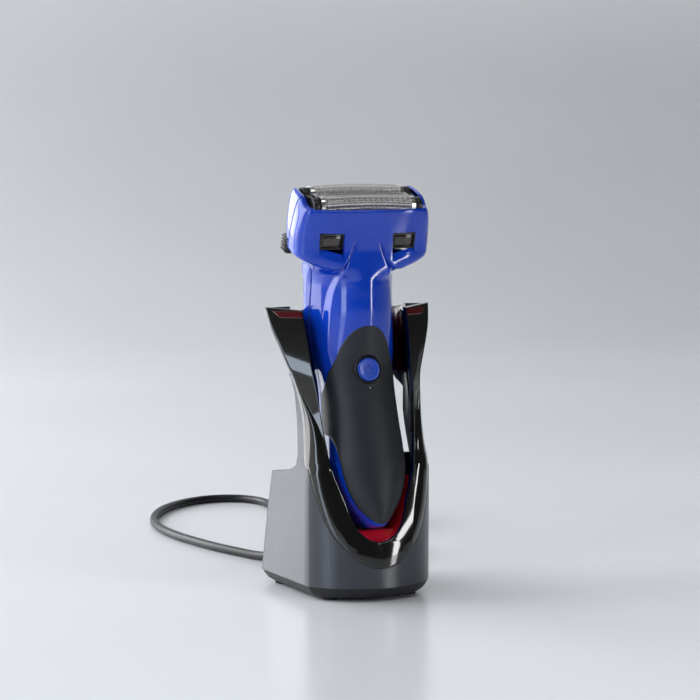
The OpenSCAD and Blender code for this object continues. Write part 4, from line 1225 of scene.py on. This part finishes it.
def windows():
    """Smoked inlet windows: a pane, a lens and a small shelf, each in a black rim."""
    made = []
    for x in (-WINDOW_X, WINDOW_X):
        for size, y, up, radius in (((11.5, 1.1, 7.6), -8.45, 0, 0.25),
                                    ((8.6, 1.0, 4.6), -9.15, 0.1, 0.45),
                                    ((8.2, 0.7, 0.8), -9.75, 1.5, 0.25)):
            made.append(soft_box("pane", size, (x, y, WINDOW_Z + up), HEAD, radius=radius))
    dress_all("inlet_windows_smoke", made, SMOKE, "handset", "window_smoke", ["inlet_windows"])
    for word, x in (("left", -WINDOW_X), ("right", WINDOW_X)):
        outside, inside = (outline_ring(*size, 0) for size in ((5.72, 3.78, 0.5), (5.1, 3.2, 0.4)))
        ring = [[(x + p, y, WINDOW_Z + q) for p, q, _ in edge]
                for y, edge in ((-8.0, outside), (-9.9, outside), (-9.9, inside), (-8.0, inside))]
        ring.append(ring[0])
        rim = loft(f"window_rim_{word}", ring, HEAD, caps=False)
        dress(rim, BLACK, "handset", "button_black")


def release_buttons():
    """A ribbed push button on each side of the head."""
    for side, word in ((-1, "left"), (1, "right")):
        core = soft_box(f"release_button_{word}_ribbed", (5.6, 7, 8),
                        (side * 30.4, 8.5, 4.6), HEAD, radius=0.9, segments=4)
        ribs = [soft_box("rib", (1.6, 6.2, 0.8), (side * 33.1, 8.5, 4.6 + k * 1.5), HEAD,
                         radius=0.35) for k in (-2, -1, 0, 1, 2)]
        dress(joined(core, *ribs), BLACK, f"release_{word}", "button_black",
              [f"release_button_{word}"])


def shell_screws():
    """Cross-head screws in the rear shell."""
    profile = [(0, 7.6), (1.5, 7.6), (1.5, 9.0), (1.35, 9.4), (0.9, 9.5), (0, 9.5)]
    made = []
    for z in SCREWS_Z:
        spot = placed(LEAN, 0, 0, z)
        screw = lathe("screw", profile, spot, axis="Y", around=32)
        for turn in (0, 90):
            across = spot @ Matrix.Rotation(math.radians(turn), 4, "Y")
            cut(screw, soft_box("slot", (1.7, 1.2, 0.35), (0, 9.4, 0), across, radius=0.02,
                                segments=1))
        made.append(screw)
    dress_all("shell_screws_cross", made, SCREW, "handset", "screw_steel", ["rear_screws"])


power_button()
lamp()
windows()
release_buttons()
shell_screws()

# --- cassette ---

FOIL_LEN = 46.0
FOIL_R = 4.3
FOIL_PITCH = 14.0
FOIL_C = 26.4


def on_foil(u, v, radius):
    """Point of a foil from its length u and its girth v, both from the middle."""
    quarter = math.pi / 2 * FOIL_R
    crown = 0.9 * (1 - (u / 23) ** 2)
    if abs(v) <= quarter:
        a = v / FOIL_R
        return (u, radius * math.sin(a), FOIL_C + radius * math.cos(a) + crown)
    down = abs(v) - quarter
    return (u, math.copysign(radius, v), FOIL_C + crown - down)


def perforated(name, place):
    """A sheet of six-sided cells, each with a hole, wrapped over the foil's arch."""
    pitch, hole = 1.18, 0.40
    corner = pitch / math.sqrt(3)
    columns = int((FOIL_LEN - 2.4) / pitch)
    rows = 18
    angles = np.radians(range(30, 390, 60))
    verts, faces = [], []
    for j in range(rows):
        v = (j - (rows - 1) / 2) * corner * 1.5
        for i in range(columns):
            u = (i - (columns - 1) / 2 + (0.25 if j % 2 else -0.25)) * pitch
            first = len(verts)
            for reach, radius in ((corner, FOIL_R), (hole, FOIL_R - 0.16)):
                verts += [on_foil(u + reach * math.cos(a), v + reach * math.sin(a), radius)
                          for a in angles]
            faces += [(first + k, first + (k + 1) % 6, first + 6 + (k + 1) % 6, first + 6 + k)
                      for k in range(6)]
    sheet = mesh_object(name, verts, faces, place)
    thick = sheet.modifiers.new("thick", "SOLIDIFY")
    thick.thickness = 0.09 * MM
    thick.offset = -1
    return applied(sheet)


def foil_strip(sheet, lengths, girths, outside, inside, place):
    """Adds a solid strip of sheet over these lengths and girths."""
    grids = [[[on_foil(u, v, radius) for v in girths] for u in lengths]
             for radius in (outside, inside)]
    joined(sheet, slab("strip", *grids, place))


def foil(name, side, body):
    """A foil: the perforated sheet with its end bands and lower skirts."""
    place = placed(HEAD, 0, HEAD_MID + side * FOIL_PITCH / 2, 0)
    sheet = perforated(name, place)
    for end in (-1, 1):
        foil_strip(sheet, np.linspace(21.2, 23.0, 6) * end, np.linspace(-12.2, 12.2, 60),
                   FOIL_R + 0.05, FOIL_R - 0.25, place)
    for edge in (-1, 1):
        foil_strip(sheet, np.linspace(-22.9, 22.9, 50), np.linspace(8.3, 11.6, 8) * edge,
                   FOIL_R, FOIL_R - 0.22, place)
    dress(sheet, FOIL, body, "foil_steel", [body], sharp=55)


def slit_foil():
    """The middle cutter's guard: a channel whose top is a row of fine teeth."""
    place = placed(HEAD, 0, HEAD_MID, 0)
    walls = [soft_box(f"wall{s:+d}", (FOIL_LEN, 0.4, 8.0), (0, s * 2.0, 24.7), place, radius=0.1)
             for s in (-1, 1)]
    ends = [soft_box(f"end{s:+d}", (1.6, 4.4, 0.5), (s * 22.2, 0, 29.15), place, radius=0.1)
            for s in (-1, 1)]
    teeth = []
    for k in range(-13, 14):
        for side in (-1, 1):
            x = 1.62 * k + 0.40 * side
            outline = [(x - 0.55, side * 2.2), (x - 0.22, side * 0.15),
                       (x + 0.22, side * 0.15), (x + 0.55, side * 2.2)]
            rings = [[(px, py, z) for px, py in outline] for z in (28.75, 29.4)]
            teeth.append(loft("tooth", rings, place))
    dress_all("slit_foil_toothed", walls + ends + teeth, BLADE, "slit_foil", "foil_steel",
              ["slit_foil"], sharp=30)


def end_caps():
    """Black ends that hold the foils: two lobes with a waist between."""
    made = []
    for side in (-1, 1):
        front, rear = (
            [(HEAD_MID + mid + 4.25 * math.cos(a), 26.0 + 4.25 * math.sin(a))
             for a in np.radians(np.linspace(*turn, 26))]
            for mid, turn in ((-FOIL_PITCH / 2, (215, 12)), (FOIL_PITCH / 2, (168, -35))))
        waist = [(HEAD_MID + y, 28.9 - 0.35 * math.cos(y / 2.2 * math.pi / 2))
                 for y in np.linspace(-2.2, 2.2, 7)]
        outline = front + waist + rear
        x = side * 25.1
        made.append(prism(f"cap{side:+d}", outline, x - 1.4, x + 1.4, HEAD, radius=0.45))
    dress_all("foil_end_caps_lobed", made, BLACK, "foil_cassette", "button_black",
              ["foil_end_caps"], sharp=40)


def cassette_frame():
    """The cassette's black frame."""
    place = placed(HEAD, 0, HEAD_MID, 0)
    outer = [(20.5, 0.3), (20.7, 0.08), (20.9, 0.0), (25.0, 0.0), (25.35, 0.12), (25.6, 0.4)]
    rings = [outline_ring(27 - t, 12.1 - t, 6.0, z) for z, t in outer]
    rings += [outline_ring(23.3, 11.55, 4.2, z) for z in (25.6, 20.5)]
    rings.append(rings[0])
    dress(loft("foil_frame_soft", rings, place, caps=False), BLACK, "foil_cassette",
          "button_black", ["foil_frame"], sharp=40)


def blade_springs():
    """A pair of wound springs under each of the three cutters."""
    made = [spring(f"spring_{k}", (x, HEAD_MID + y, 15.4), 1.05, 0.2, 5.6, 5, HEAD)
            for k, (x, y) in enumerate((x, y) for x in (-6, 6) for y in (-7, 0, 7))]
    dress_all("blade_springs_coiled", made, SPRING, "armature", "screw_steel", ["blade_springs"])


def bellows():
    """The drive's rubber seal, folded like a bellows."""
    place = placed(HEAD, 0, 5, 0)
    outside = [(4.7, 6.4), (6.2, 7.3), (6.4, 7.5), (6.4, 8.0), (6.2, 8.25), (5.0, 8.5),
               (4.3, 8.9), (4.9, 9.3), (4.2, 9.8), (4.6, 10.2), (3.9, 10.7), (4.1, 11.2),
               (3.6, 11.4)]
    inside = [(3.1, 11.4), (3.1, 6.4)]
    dress(lathe("drive_seal_bellows", outside + inside, place, caps=False), SEAL, "handset",
          "seal_rubber", ["drive_seal"], sharp=60)


foil("foil_front_mesh", -1, "foil_front")
foil("foil_rear_mesh", 1, "foil_rear")
slit_foil()
end_caps()
cassette_frame()
blade_springs()
bellows()

# --- trimmer ---


def trimmer():
    """Pop-up trimmer on the back: a ribbed flap that carries a fine comb."""
    flap = soft_box("trimmer_flap", (25.2, 3.6, 14), (0, 0, 7), TRIMMER, radius=0.7, segments=4)
    cut(flap, soft_box("pocket", (21.2, 2.3, 7), (0, -1.85, 12.1), TRIMMER, radius=0.1,
                       segments=1))
    grooves = [soft_box("groove", (11, 1, 0.7), (0, 1.9, 3.6 + 1.5 * k), TRIMMER, radius=0.2)
               for k in range(4)]
    cut(flap, *grooves)
    cut(flap, lathe("bore", [(0, -20), (0.85, -20), (0.85, 20), (0, 20)],
                    placed(TRIMMER, 0, 0, 1.7), axis="X", around=32))
    dress(flap, BLACK, "trimmer", "button_black", ["trimmer_housing"], sharp=35)
    comb = soft_box("trimmer_comb_fine", (20, 0.5, 3.2), (0, 2.05, 11.6), TRIMMER, radius=0.08)
    teeth = []
    for x in 0.75 * np.arange(-13, 14):
        rings = [[(x - w, 1.8, z), (x + w, 1.8, z), (x + w, back, z), (x - w, back, z)]
                 for z, w, back in ((13.0, 0.22, 2.3), (14.2, 0.18, 2.25), (14.5, 0.06, 2.0))]
        teeth.append(loft("tooth", rings, TRIMMER))
    dress(joined(comb, *teeth), BLADE, "trimmer", "blade_steel", ["trimmer_comb"])


trimmer()

# --- carried-over CAD nodes ---

NODE_FINISH = {
    "stand_screws": SCREW, "contact_block": BASE, "button_spring": SPRING,
    "inner_chassis": INNER, "battery": WRAP, "circuit_board": BOARD, "tact_switch": BLACK,
    "socket_insert": BLACK, "socket_pins": CONTACT, "motor_stator": MOTOR,
    "motor_armature": MOTOR, "drive_pin": SCREW, "counterweight": MOTOR, "hair_tray": INNER,
    "release_springs": SPRING, "slit_cutter": BLADE, "inner_blade_front": BLADE,
    "inner_blade_rear": BLADE, "trimmer_blade": BLADE, "trimmer_pin": SCREW}
for name, material in NODE_FINISH.items():
    finish(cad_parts[name], material, 30)
